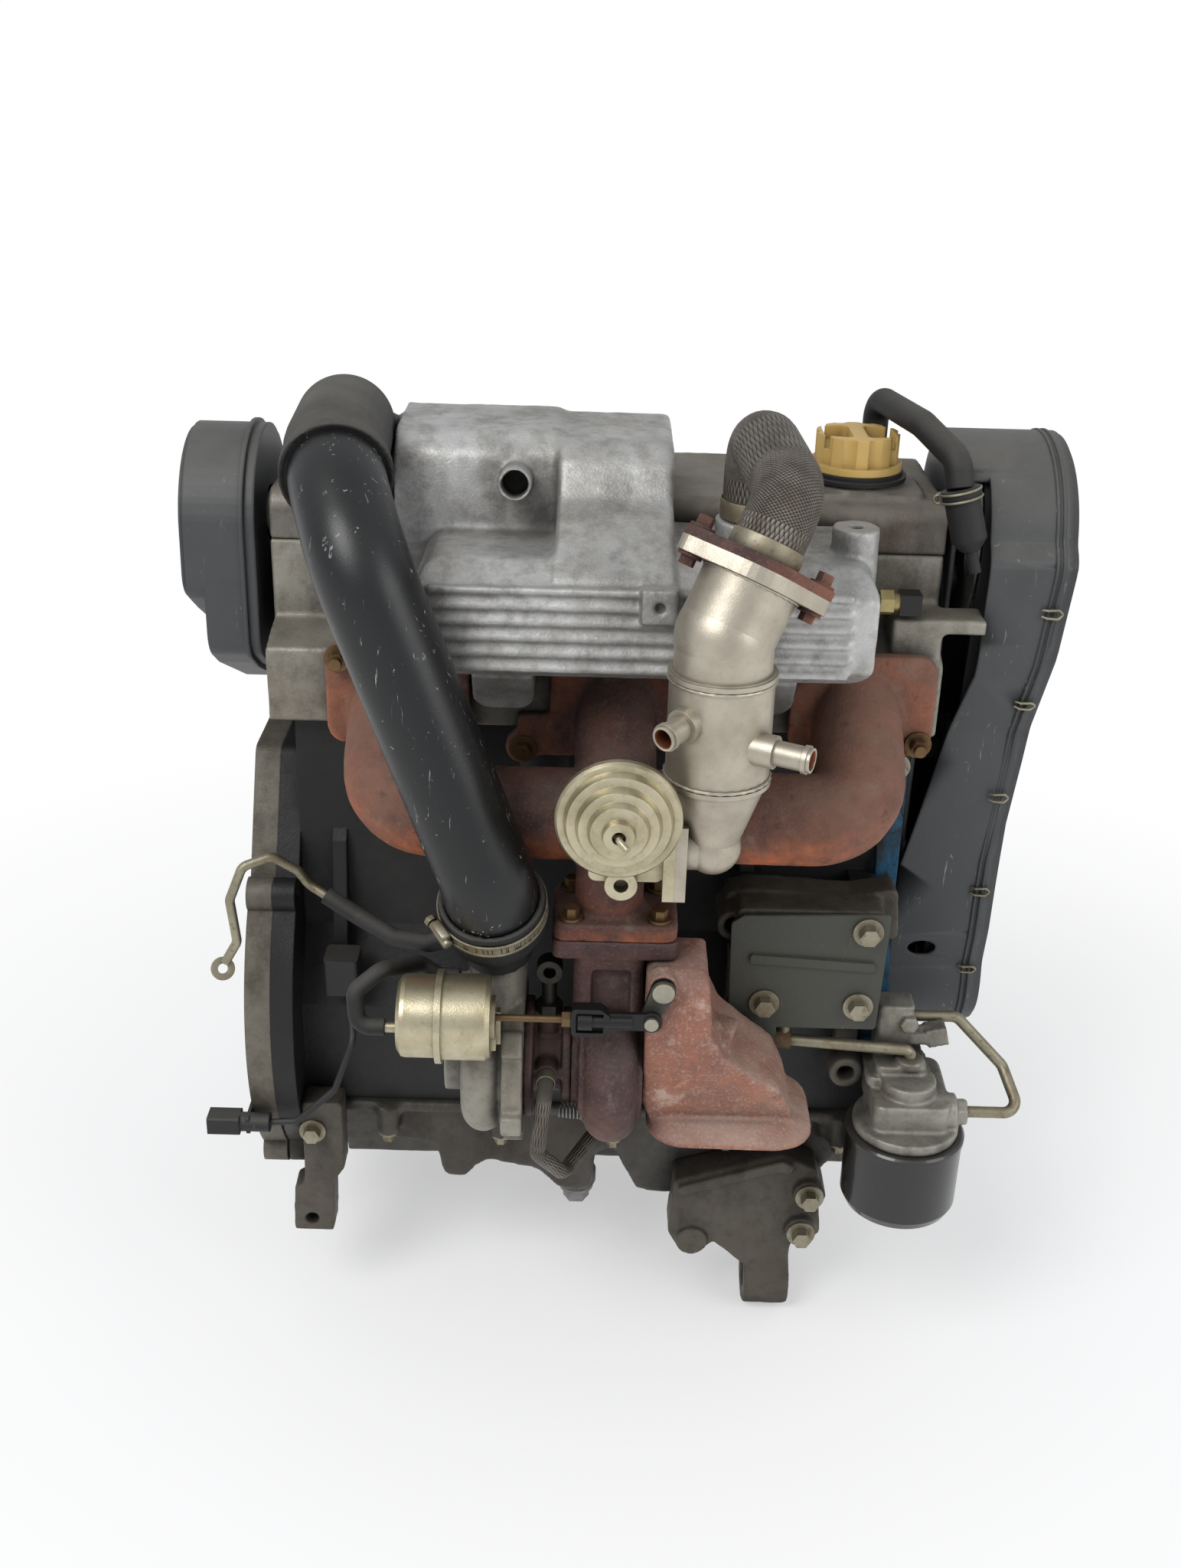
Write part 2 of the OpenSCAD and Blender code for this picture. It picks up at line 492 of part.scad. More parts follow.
module filler_seal() color([0.08, 0.08, 0.08]) difference() {
  union() { zcyl(seat_x, seat_y, seat_z, seat_z + 3, cap_r + 3.5); zcyl(seat_x, seat_y, seat_z + 3, seat_z + 6, cap_r + 1); }
  zcyl(seat_x, seat_y, seat_z - 1, seat_z + 7, neck_r + 1);
}
cap_z = seat_z + 6 + gap;
// filler cap: disc, moulded grip with finger flutes and a bayonet plug
module oil_filler_cap() color([0.82, 0.66, 0.36]) difference() {
  union() {
    zcyl(seat_x, seat_y, cap_z, cap_z + 5, cap_r);
    translate([seat_x, seat_y, 0]) along_z(cap_z + 4, cap_z + cap_h) difference() {
      soft(3) union() { circle(r = cap_r - 3, $fn = 64); }
      for (k = [0 : 9]) rotate(k * 36) translate([cap_r + 1, 0]) circle(r = 6.5, $fn = 24);
    }
    zcyl(seat_x, seat_y, seat_z - 14, cap_z + 1, neck_r - gap - 1);
  }
  translate([seat_x, seat_y, 0]) for (s = [0, 180]) rotate(s) translate([0, 0, cap_z + cap_h - 9]) along_z(0, 12) soft(4) polygon([[5, -18], [24, -14], [24, 14], [5, 18]]);
}

// ---- inlet manifold -------------------------------------------------------------
plen_x0 = 128; plen_x1 = 410;
plen_z1 = head_z1 + 20;
plen_z0 = plen_z1 - plenum_h;
plen_y = cam_w + plenum_d;
box_z1 = cover_z1 + gap + box_h;
box_x = [107, 212, 286];
lobe_x = [[160, 200], [334, 368]];
stub_x = 186;
module inlet_manifold() color([0.68, 0.69, 0.68]) difference() {
  union() {
    // plenum with rounded ends and nose
    intersection() {
      along_x(plen_x0, plen_x1) soft(5) polygon([[-cam_w, plen_z0], [-cam_w, plen_z1], [-plen_y + 26, plen_z1], [-plen_y, plen_z1 - 14], [-plen_y, plen_z0 + 12], [-plen_y + 12, plen_z0], [-cam_w, plen_z0]]);
      along_y(-plen_y - 1, -cam_w) rect(plen_x0, plen_x1, plen_z0, plen_z1 + 1, 16);
    }
    for (k = [0 : rib_n - 1]) let (z = plen_z0 + 10 + k * (plenum_h - 22) / max(1, rib_n - 1))
      along_y(-plen_y - 3, -plen_y + 3) rect(plen_x0 + 8, plen_x1 - 16, z - 2, z + 2);
    // left raised box
    along_x(box_x[0], box_x[1] + 1) soft(6) polygon([[-cam_w, plen_z0 + 30], [-cam_w, cover_z1 + gap], [14, cover_z1 + gap], [14, box_z1 - 6], [4, box_z1], [-cam_w - 8, box_z1], [-cam_w - 24, box_z1 - 12], [-cam_w - 34, plen_z1 - 8], [-cam_w - 60, plen_z1 - 20], [-cam_w - 60, plen_z0 + 30]]);
    // right raised box, its front sloping on to the plenum
    along_x(box_x[1], box_x[2]) soft(6) polygon([[-cam_w, plen_z0 + 30], [-cam_w, cover_z1 + gap], [14, cover_z1 + gap], [14, box_z1 - 10], [4, box_z1 - 3], [-cam_w - 20, box_z1 - 3], [-cam_w - 36, box_z1 - 14], [-cam_w - 48, plen_z1 + 26], [-cam_w - 84, plen_z1 + 8], [-plen_y + 6, plen_z1 - 8], [-plen_y + 6, plen_z0 + 30]]);
    // inlet port runners down to the head face
    for (l = lobe_x) intersection() {
      along_y(-head_w - 46, -head_w) rect(l[0], l[1], head_z0 + 24, plen_z0 + 20, 12);
      along_x(l[0], l[1]) polygon([[-head_w, head_z0 + 24], [-head_w, plen_z0 + 20], [-head_w - 46, plen_z0 + 20], [-head_w - 46, plen_z0 - 10], [-head_w - 26, head_z0 + 24]]);
    }
    // boss post with its tapped hole, and the clip lug
    zcyl(plen_x1 - 10, -122, plen_z0 + 20, plen_z1 + 16, 15);
    box(266, 288, -plen_y - 8, -plen_y + 4, plen_z1 - 30, plen_z1 - 8);
    // breather stub
    aim([stub_x, -cam_w - 12, plen_z1 + 30], [0, -1, 0.14]) cylinder(r = stub_r, h = 46);
    // port that takes the exhaust gas pipe
    zcyl(flex_x, -flex_y, plen_z1 - 4, plen_z1 + 14, braid_r + 4);
    // intake mouth on the left box
    xcyl(box_x[0] - 8, box_x[0] + 4, -32, box_z1 - 23, 21);
  }
  zcyl(plen_x1 - 10, -122, plen_z1 - 4, plen_z1 + 17, 4.2, 24);
  aim([stub_x, -cam_w - 12, plen_z1 + 30], [0, -1, 0.14]) translate([0, 0, 14]) cylinder(r = stub_r - 2, h = 40);
  ycyl(277, -plen_y - 9, -plen_y - 2, plen_z1 - 19, 3.2, 24);
  xcyl(box_x[0] - 9, box_x[0] + 2, -32, box_z1 - 23, 17);
  // nothing reaches into the head or the cover
  box(0, 600, -cam_w, 100, 200, cover_z1 + gap);
}
flex_x = 338; flex_y = 100;

// ---- exhaust manifold -------------------------------------------------------------
port_z = head_z0 + 25.5;
port_x = [106, 254, 414];
log_y = head_w + log_d + 2;
log_z = 204;
nut_p = [for (x = port_x) for (p = [[-36, 25], [42, -26]]) [x + p[0], port_z + p[1]]];
turbo_fl_x = [216, 296];
turbo_fl_z = 142;                      // joint with the turbocharger
module exhaust_manifold() color([0.55, 0.34, 0.27]) difference() {
  union() {
    tube([[port_x[0], -head_w + 16, port_z + 10], [port_x[0], -log_y, log_z], [port_x[2], -log_y, log_z],
      [port_x[2], -head_w + 16, port_z + 10]], runner_r + 1, runner_r);
    aim([port_x[1], -head_w + 16, port_z + 8], [0, -log_y + head_w - 16, log_z - port_z - 8])
      cylinder(r = runner_r - 3, h = norm([log_y - head_w + 16, port_z + 8 - log_z]));
    for (k = [0 : 2]) along_y(-head_w - 10, -head_w) rect(port_x[k] - 45, port_x[k] + 51, port_z - 36, port_z + 35, 12);
    along_y(-head_w - 10, -head_w) { translate([192, 226]) circle(r = 12); rect(188, 230, 220, 250); }
    // neck and flange that carry the turbocharger
    tube([[turbo_cx, -log_y + 4, log_z - 4], [turbo_cx, -turbo_y + 3, turbo_fl_z + 26],
      [turbo_cx, -turbo_y + 3, turbo_fl_z + 4]], 24, 22);
    along_z(turbo_fl_z, turbo_fl_z + 12) rect(turbo_fl_x[0], turbo_fl_x[1], -turbo_y - 27, -turbo_y + 33, 8);
    // pad for the gas valve
    box(egr_body_x0, egr_body_x1, -egr_pad_y, -log_y + 4, 184, 230);
  }
  box(0, 500, -head_w, 0, 100, 400);
}
turbo_cx = 252;
egr_body_x0 = 238; egr_body_x1 = 284;
egr_pad_y = 201;
module exhaust_manifold_nuts() color([0.45, 0.33, 0.24]) {
  for (p = nut_p) { bolt_f(p[0], -head_w - 10, p[1], 5.2, 8); ycyl(p[0], -head_w - 24, -head_w - 18, p[1], 4, 24); }
  bolt_f(192, -head_w - 10, 226, 5.2, 8);
  for (x = [turbo_fl_x[0] + 12, turbo_fl_x[1] - 12]) for (y = [-turbo_y - 17, -turbo_y + 23]) bolt_u(x, y, turbo_fl_z + 12, 4.4, 6);
}

// ---- turbocharger -----------------------------------------------------------------
turb_x0 = 236; turb_x1 = 277;          // turbine housing faces
comp_x1 = 199;                         // compressor back plate face
shaft_r = 4.5;
module turbine_housing() color([0.42, 0.3, 0.28]) difference() {
  union() {
    // inlet flange and neck
    along_z(turbo_fl_z - 13, turbo_fl_z) rect(turbo_fl_x[0], turbo_fl_x[1], -turbo_y - 27, -turbo_y + 33, 6);
    along_z(turbo_z + 12, turbo_fl_z - 12) rect(turb_x0 - 6, turb_x1 - 0.5, -turbo_y - 25, -turbo_y + 27, 9);
    // volute
    translate([(turb_x0 + turb_x1) / 2, -turbo_y, turbo_z]) rotate([0, 90, 0]) rotate_extrude($fn = 72) translate([38, 0]) circle(r = 18.5);
    xcyl(turb_x0 - 1, turb_x1, -turbo_y, turbo_z, 42);
    xcyl(turb_x0 - 6, turb_x0, -turbo_y, turbo_z, 33);
  }
  xcyl(turb_x0 + 3, turb_x1 + 1, -turbo_y, turbo_z, turbine_r + 0.7);
  xcyl(turb_x0 - 7, turb_x0 + 4, -turbo_y, turbo_z, shaft_r + 5);
  // bolt recess in the neck's front
  box(turb_x0 + 6, turb_x1 - 10, -turbo_y - 26, -turbo_y - 18, turbo_z + 34, turbo_fl_z - 22);
}
elbow_top = turbo_fl_z - 14;
out_x = [281, 392];                    // outlet flange
stud_x = [296, 380];
stud_r = 4;
stud_l = 24;
out_z = -6;
out_y = turbo_y + 4;
pivot_p = [287, 122];                  // wastegate pivot (X,Z)
lever_a = 22;                          // rest angle of the lever from straight down
pin_p = [pivot_p[0] - lever_r * sin(lever_a), pivot_p[1] - lever_r * cos(lever_a)];
elbow_front = turbo_y + 45;
module turbine_outlet_elbow() color([0.55, 0.37, 0.31]) difference() {
  union() {
    intersection() {
      along_y(-elbow_front, -turbo_y + 46) soft(7) polygon([[turb_x1, elbow_top], [316, elbow_top], [320, 84], [330, 62], [350, 46], [374, 30], [out_x[1] - 2, 6], [out_x[1] - 2, out_z], [out_x[0] + 2, out_z], [turb_x1, 16]]);
      along_x(turb_x1, out_x[1]) soft(14) polygon([[-elbow_front, elbow_top], [-turbo_y + 10, elbow_top], [-turbo_y + 44, 84], [-turbo_y + 44, out_z], [-turbo_y - 42, out_z], [-elbow_front, 60]]);
    }
    // outlet flange
    along_z(out_z - 9, out_z + 6) intersection() { rect(out_x[0], out_x[1], -out_y - 44, -out_y + 44, 26); }
    // side boss
    aim([314, -out_y - 6, 66], [1, -0.25, -0.2]) cylinder(r = 15, h = 24);
    ycyl(pivot_p[0], -elbow_front - 2.5, -elbow_front + 12, pivot_p[1], 9);
    // studs that carry the exhaust front pipe
    for (x = stud_x) zcyl(x, -out_y, out_z - 9 - stud_l, out_z - 8, stud_r, 24);
  }
  zcyl((out_x[0] + out_x[1]) / 2 + 2, -out_y, out_z - 10, out_z + 20, out_r);
  xcyl(turb_x1 - 1, turb_x1 + 12, -turbo_y, turbo_z, turbine_r + 2);
  ycyl(pivot_p[0], -elbow_front - 4, -elbow_front + 30, pivot_p[1], 5 + run_c);
}
out_r = 27;
lever_y = elbow_front + 3;             // rear face of the lever plate
module wastegate_lever() color([0.5, 0.45, 0.4]) {
  ycyl(pivot_p[0], -lever_y, -elbow_front + 26, pivot_p[1], 5);
  ycyl(pivot_p[0], -lever_y - 6, -lever_y, pivot_p[1], 7);
  along_y(-lever_y - 4, -lever_y) hull() { translate(pivot_p) circle(r = 8); translate(pin_p) circle(r = 6); }
  ycyl(pin_p[0], -rod_y - 5, -lever_y - 3, pin_p[1], 3.5);
  ycyl(pin_p[0], -rod_y - 5, -rod_y - 2.2, pin_p[1], 4.4);
}
rod_y = lever_y + 10;                  // axis of the wastegate rod
rod_r = 2.3;
can_x0 = 122;
can_x1 = can_x0 + can_l;
module wastegate_rod() color([0.6, 0.5, 0.3]) difference() {
  union() {
    xcyl(can_x1 - 30, pin_p[0] - 46, -rod_y, pin_p[1], rod_r, 24);
    xcyl(can_x1 - 32, can_x1 - 30, -rod_y, pin_p[1], can_r - 8);
    xcyl(pin_p[0] - 56, pin_p[0] - 50, -rod_y, pin_p[1], 5.4, 6);
    // fork of folded plate, barrel nut and finger
    difference() {
      along_y(-rod_y - 4.5, -rod_y + 4.5) soft(3) polygon([[pin_p[0] - 50, pin_p[1] - 10], [pin_p[0] - 32, pin_p[1] - 10], [pin_p[0] - 26, pin_p[1] - 5.5], [pin_p[0] - 26, pin_p[1] + 5.5], [pin_p[0] - 32, pin_p[1] + 10], [pin_p[0] - 50, pin_p[1] + 10]]);
      box(pin_p[0] - 47, pin_p[0] - 30, -rod_y - 5, -rod_y - 1, pin_p[1] - 7, pin_p[1] + 7);
    }
    xcyl(pin_p[0] - 46, pin_p[0] - 37, -rod_y - 1, pin_p[1], 6.2);
    xcyl(pin_p[0] - 38, pin_p[0] - 12, -rod_y - 1, pin_p[1], 4.4);
    along_y(-rod_y - 2, -rod_y + 1) union() { translate(pin_p) circle(r = 7); translate([pin_p[0] - 30, pin_p[1] - 6]) square([30, 12]); }
  }
  ycyl(pin_p[0], -rod_y - 6, -rod_y + 6, pin_p[1], 3.5 + run_c);
}
module actuator_canister() color([0.75, 0.66, 0.48]) difference() {
  union() {
    translate([can_x0, -rod_y, pin_p[1]]) rotate([0, 90, 0]) rotate_extrude($fn = 64) polygon([[0, 0], [can_r - 5, 0], [can_r - 1.5, 2.5], [can_r - 1, 5], [can_r - 1, 24], [can_r + 2.5, 24], [can_r + 2.5, 28], [can_r, 28],
      [can_r, can_l - 3], [can_r - 2, can_l], [0, can_l]]);
    // hose nipple and the bracket to the compressor housing
    xcyl(can_x0 - 9, can_x0 + 1, -rod_y, pin_p[1] - 9, 3.5, 24);
    along_x(can_x1 - 0.5, can_x1 + 2.5) difference() { union() { translate([-rod_y, pin_p[1]]) circle(r = 14); rect(-rod_y, -turbo_y - comp_plate_r + 14, pin_p[1] - 26, pin_p[1] + 2, 2); } }
    box(can_x1, comp_x1 - 14, -turbo_y - comp_plate_r + 8, -turbo_y - comp_plate_r + 14, pin_p[1] - 26, pin_p[1] - 2);
  }
  xcyl(can_x0 + 2, can_x1 - 2, -rod_y, pin_p[1], can_r - 3);
  xcyl(can_x1 - 3, can_x1 + 3, -rod_y, pin_p[1], rod_r + 2.7);
}
module compressor_housing() color([0.6, 0.6, 0.58]) difference() {
  union() {
    translate([172, -turbo_y, turbo_z]) rotate([0, 90, 0]) rotate_extrude($fn = 72) translate([37, 0]) circle(r = 14);
    xcyl(164, comp_x1 - 13, -turbo_y, turbo_z, 42);
    xcyl(146, 166, -turbo_y, turbo_z, 24);
    xcyl(comp_x1 - 14, comp_x1, -turbo_y, turbo_z, comp_plate_r - 4, 72);
    // clamp lugs round the back plate
    for (k = [0 : 5]) translate([0, -turbo_y, turbo_z]) rotate([k * 60 + 20, 0, 0]) along_x(comp_x1 - 14, comp_x1) rect(comp_plate_r - 12, comp_plate_r + 3, -9, 9, 3);
    // outlet nozzle
    tube([[176, -turbo_y - 16, turbo_z + 10], cuff_a - cuff_u * 14, cuff_a + cuff_u * 10], 30, nozzle_r);
    xcyl(nip_x, nip_x + 12, -turbo_y - 3, turbo_z + 62, 3.4, 24);
  }
  xcyl(168, comp_x1 - 8, -turbo_y, turbo_z, compressor_r + 0.7);
  xcyl(145, 170, -turbo_y, turbo_z, 20);
  xcyl(comp_x1 - 9, comp_x1 + 1, -turbo_y, turbo_z, shaft_r + 5);
}
nozzle_r = 19;
nip_x = 156;
module bearing_housing() color([0.28, 0.26, 0.25]) difference() {
  union() {
    xcyl(comp_x1, turb_x0 - 6, -turbo_y, turbo_z, 23);
    xcyl(comp_x1, comp_x1 + 6, -turbo_y, turbo_z, 40);
    xcyl(turb_x0 - 12, turb_x0 - 6, -turbo_y, turbo_z, 33);
    zcyl(banjo_x, -turbo_y, turbo_z + 18, turbo_z + 36, 9);
    ycyl(drain_p[0], -turbo_y - 33, -turbo_y - 14, drain_p[1], 8);
  }
  xcyl(comp_x1 - 1, turb_x0, -turbo_y, turbo_z, shaft_r + run_c);
}
banjo_x = 214.5;
drain_p = [214, turbo_z + 6];
// shaft and wheel are one piece; blades sweep from hub to tip
module blades(n, r0, r1, x0, x1, t) for (k = [0 : n - 1]) rotate([k * 360 / n, 0, 0]) rotate([0, 0, 0]) translate([x0, -t / 2, r0 - 2]) cube([x1 - x0, t, r1 - r0 + 2]);
module turbine_wheel() color([0.35, 0.3, 0.28]) translate([0, -turbo_y, turbo_z]) {
  xcyl(comp_x1 - 28, turb_x0 + 6, 0, 0, shaft_r);
  translate([turb_x0 + 5, 0, 0]) rotate([0, 90, 0]) rotate_extrude($fn = 48) polygon([[0, 0], [turbine_r - 2, 0], [turbine_r - 2, 1.5], [12, 8], [8, 22], [4, 28], [0, 28]]);
  intersection() { blades(10, 6, turbine_r, turb_x0 + 5.5, turb_x0 + 29, 1.6); xcyl(turb_x0 + 5, turb_x0 + 30, 0, 0, turbine_r); }
}
module compressor_wheel() color([0.7, 0.7, 0.7]) translate([0, -turbo_y, turbo_z]) difference() {
  union() {
    translate([comp_x1 - 10, 0, 0]) rotate([0, -90, 0]) rotate_extrude($fn = 48) polygon([[0, 0], [compressor_r, 0], [compressor_r, 1.5], [13, 7], [8, 18], [6, 20], [0, 20]]);
    intersection() { blades(12, 6, compressor_r, comp_x1 - 28, comp_x1 - 11, 1.4); translate([comp_x1 - 10, 0, 0]) rotate([0, -90, 0]) cylinder(r1 = compressor_r, r2 = compressor_r - 7, h = 20); }
  }
  xcyl(comp_x1 - 31, comp_x1 - 9, 0, 0, shaft_r + 0.02);
}
module oil_banjo() color([0.5, 0.47, 0.38]) difference() {
  union() {
    zcyl(banjo_x, -turbo_y, turbo_z + 36, turbo_z + 62, 5);
    zcyl(banjo_x, -turbo_y, turbo_z + 36, turbo_z + 43, 9, 6);
    ycyl(banjo_x, -turbo_y - 6, -turbo_y + 6, turbo_z + 68, 8.5);
  }
  ycyl(banjo_x, -turbo_y - 7, -turbo_y + 7, turbo_z + 68, 4.2);
}
module oil_drain_hose() color([0.4, 0.38, 0.36]) tube([[drain_p[0], -turbo_y - 33, drain_p[1]], [drain_p[0], -turbo_y - 48, drain_p[1]], [drain_p[0] - 5, -turbo_y - 44, -10], [drain_p[0] + 12, -turbo_y - 10, -52], [drain_p[0] + 48, -150, -34], [drain_p[0] + 48, -skirt_w - gap, -34]], 12, 5.2, 16);

// ---- exhaust gas recirculation ------------------------------------------------------
egr_c = [255, 250];                    // valve axis (X,Z)
cooler_c = [313, -232];
cooler_z1 = 334;
cooler_z0 = cooler_z1 - cooler_h;
egr_joint_x = egr_body_x1 + 6;
module egr_valve() color([0.76, 0.74, 0.6]) difference() {
  union() {
    // diaphragm housing: stacked pressed steps
    translate([egr_c[0], -264, egr_c[1]]) rotate([90, 0, 0]) rotate_extrude($fn = 64) polygon([[0, -14], [20, -14], [26, -8], [egr_r - 5, -6], [egr_r, -2], [egr_r, 2], [egr_r - 1.5, 4], [egr_r - 5, 4], [egr_r - 7, 9],
      [egr_r - 12, 9.5], [egr_r - 14, 15], [egr_r - 19, 15.5], [egr_r - 21, 20], [10, 20.5], [9, 25], [4, 25.5], [3.5, 21], [0, 21]]);
    tube([[egr_c[0], -284, egr_c[1]], [egr_c[0], -292, egr_c[1]], [egr_c[0] + 5, -298, egr_c[1] - 3]], 3, 2, 16);
    // cast valve body on the manifold pad, with its two ears
    along_y(-238, -egr_pad_y) rect(egr_body_x0, egr_body_x1, 195, 246, 5);
    ycyl(egr_c[0], -251, -230, egr_c[1] - 6, 16);
    ycyl(258, -246, -236, 196, 10);
    box(egr_body_x1 - 1, egr_joint_x, -250, -212, 188, 232);
  }
  ycyl(258, -247, -238, 196, 4.5);
}
elbow_n = unit([0.4, 0.3, 0.87]);
elbow_c = [cooler_c[0], cooler_c[1], cooler_z1 + 19];
cooler_end = elbow_c + elbow_n * 36;
fl_half = 38.5;                        // half the bolt spacing of the gas pipe flanges
module flange2(t, r, hole) linear_extrude(t) difference() {
  hull() { circle(r = r, $fn = 40); for (s = [-1, 1]) translate([s * fl_half, 0]) circle(r = 9, $fn = 24); }
  for (s = [-1, 1]) translate([s * fl_half, 0]) circle(r = hole, $fn = 24);
}
module on_flange(d) aim(cooler_end + elbow_n * d, elbow_n) rotate(-34) children();
module egr_cooler() color([0.66, 0.64, 0.58]) difference() {
  union() {
    zcyl(cooler_c[0], cooler_c[1], cooler_z0, cooler_z1, cooler_r, 64);
    zcyl(cooler_c[0], cooler_c[1], cooler_z1 - 4, cooler_z1 - 1, cooler_r + 1.2, 64);
    zcyl(cooler_c[0], cooler_c[1], cooler_z0 + 1, cooler_z0 + 4, cooler_r + 1.2, 64);
    zcyl(cooler_c[0], cooler_c[1], cooler_z1 - 1, elbow_c[2], cooler_r - 2, 48);
    translate(elbow_c) sphere(r = cooler_r - 1.5, $fn = 48);
    aim(elbow_c, elbow_n) cylinder(r = cooler_r - 2, h = norm(cooler_end - elbow_c), $fn = 48);
    on_flange(-2) flange2(9, 31, 4.2);
    // lower cone and the short neck to the valve
    translate([cooler_c[0], cooler_c[1], cooler_z0 - 42]) cylinder(r1 = 15, r2 = cooler_r - 1, h = 43, $fn = 64);
    translate([cooler_c[0], cooler_c[1], cooler_z0 - 44]) sphere(r = 17.5, $fn = 40);
    xcyl(egr_joint_x + 6, cooler_c[0], cooler_c[1], cooler_z0 - 44, 15);
    box(egr_joint_x, egr_joint_x + 7, -250, -212, 188, 238);
    // coolant spigots with beads
    aim([296, -250, 308], [-0.62, -0.75, -0.12]) { cylinder(r = spigot_r, h = 28); translate([0, 0, 23]) cylinder(r = spigot_r + 1, h = 3); cylinder(r = spigot_r + 3, h = 11); }
    aim([330, -250, 292], [0.9, -0.42, -0.02]) { cylinder(r = spigot_r, h = 38); translate([0, 0, 33]) cylinder(r = spigot_r + 1, h = 3); cylinder(r = spigot_r + 2.5, h = 16); }
  }
  aim([296, -250, 308], [-0.62, -0.75, -0.12]) translate([0, 0, 8]) cylinder(r = spigot_r - 1.5, h = 21);
  aim([330, -250, 292], [0.9, -0.42, -0.02]) translate([0, 0, 16]) cylinder(r = spigot_r - 1.5, h = 23);
}
module egr_flange_plate() color([0.45, 0.28, 0.2]) {
  on_flange(7) flange2(6, 31, 4.2);
  on_flange(13) for (s = [-1, 1]) translate([s * fl_half, 0, 0]) bolt_z(4.4, 6);
  on_flange(-2) for (s = [-1, 1]) translate([s * fl_half, 0, 0]) rotate([180, 0, 0]) bolt_z(4.2, 5);
}
flex_a = cooler_end + elbow_n * 13;
module egr_flexible_pipe() color([0.47, 0.45, 0.42]) tube([flex_a, flex_a + elbow_n * 40, [flex_x, -flex_y, flex_top], [flex_x, -flex_y, plen_z1 + 14]], 34, braid_r, 40);
flex_top = 440;

// ---- intake pipe ----------------------------------------------------------------------
cuff_a = [181, -198, 124];
cuff_u = unit([-0.05, -0.47, 0.88]);
pipe_end = cuff_a + cuff_u * 36;
pipe_top = [67, -129, 421];
elbow_mouth = [box_x[0] - 8, -32, box_z1 - 23];
elbow_b = [64, -58, 424];
elbow_c1 = elbow_mouth - [22, 0, 0];
pipe_knee = [76, -168, 400];
module pipe_line(r) tube([pipe_end, pipe_end + cuff_u * 46, [119, -216, 330], pipe_knee, pipe_top], 60, r, 40);
module intake_pipe() color([0.08, 0.09, 0.11]) difference() {
  pipe_line(pipe_r);
  aim(pipe_end - cuff_u, cuff_u) cylinder(r = pipe_r - pipe_wall, h = 14);
}
module intake_elbow() color([0.13, 0.13, 0.13]) {
  tube([pipe_top + unit(pipe_top - pipe_knee) * e, pipe_top + unit(pipe_top - pipe_knee) * 24, elbow_b], 38, pipe_r + 3, 40);
  translate(elbow_b) sphere(r = pipe_r + 3.6, $fn = 48);
  aim(elbow_b, elbow_c1 - elbow_b) cylinder(r = 21, h = norm(elbow_c1 - elbow_b));
  translate(elbow_c1) sphere(r = 21.3, $fn = 40);
  xcyl(elbow_c1[0], elbow_mouth[0], elbow_c1[1], elbow_c1[2], 21);
}
module intake_cuff() color([0.07, 0.07, 0.07]) difference() {
  union() {
    aim(cuff_a, cuff_u) { cylinder(r = nozzle_r + 4.5, h = 12); translate([0, 0, 12]) cylinder(r1 = nozzle_r + 4.5, r2 = pipe_r + 4, h = 18); translate([0, 0, 30]) cylinder(r = pipe_r + 4, h = 28); }
  }
  aim(cuff_a - cuff_u, cuff_u) cylinder(r = nozzle_r + 0.02, h = 12);
  aim(cuff_a, cuff_u) translate([0, 0, 10]) cylinder(r = nozzle_r - 2, h = 30);
  aim(pipe_end, cuff_u) cylinder(r = pipe_r + 0.02, h = 40);
}
module hose_clamp() color([0.6, 0.6, 0.6]) {
  aim(cuff_a + cuff_u * 42, cuff_u) difference() { cylinder(r = pipe_r + 5.2, h = 11, $fn = 64); translate([0, 0, -1]) cylinder(r = pipe_r + 4.02, h = 13, $fn = 64); }
  // worm housing and screw on the side towards the gearbox end
  aim(cuff_a + cuff_u * 42, cuff_u) rotate(40) translate([0, -pipe_r - 9.6, 5.5]) {
    translate([-9, -1, -6]) cube([18, 5.2, 12]);
    rotate([0, -90, 0]) translate([0, 2, 8]) cylinder(r = 3, h = 16, $fn = 24);
    rotate([0, -90, 0]) translate([0, 2, 20]) cylinder(r = 5, h = 6, $fn = 6);
  }
}

// ---- injection pump drive ---------------------------------------------------------------
drive_x0 = -34;
drive_w = 20;
pump_p = [158, 250];                   // pump axis (Y,Z)
module drive_pulley(y, z, bore) translate([0, y, z]) difference() {
  union() {
    along_x(drive_x0 - 1, drive_x0 + drive_w + 1) polygon(toothed(32, drive_r - gap, drive_r - 2.2));
    xcyl(drive_x0 - 2.5, drive_x0 - 1, 0, 0, drive_r + 2.5);
    xcyl(drive_x0 + drive_w + 1, drive_x0 + drive_w + 2.5, 0, 0, drive_r + 2.5);
  }
  xcyl(drive_x0 - 4, drive_x0 + drive_w + 4, 0, 0, bore);
  for (k = [0 : 3]) rotate([k * 90 + 45, 0, 0]) xcyl(drive_x0 - 4, drive_x0 + drive_w + 4, 0, 26, 7, 32);
}
module pump_drive_pulley() color([0.4, 0.4, 0.42]) drive_pulley(0, head_z1, cam_r + 0.02);
module pump_pulley() color([0.4, 0.4, 0.42]) {
  drive_pulley(pump_p[0], pump_p[1], 5);
  xcyl(drive_x0, 50, pump_p[0], pump_p[1], 9);
}
module drive_loop(g) hull() {
  translate([0, head_z1]) circle(r = drive_r + g, $fn = 96);
  translate(pump_p) circle(r = drive_r + g, $fn = 96);
}
module pump_belt() color([0.1, 0.1, 0.1]) along_x(drive_x0, drive_x0 + drive_w) difference() { drive_loop(belt_t); drive_loop(0); }
drive_n = unit([head_z1 - pump_p[1], pump_p[0]]);    // across the belt run
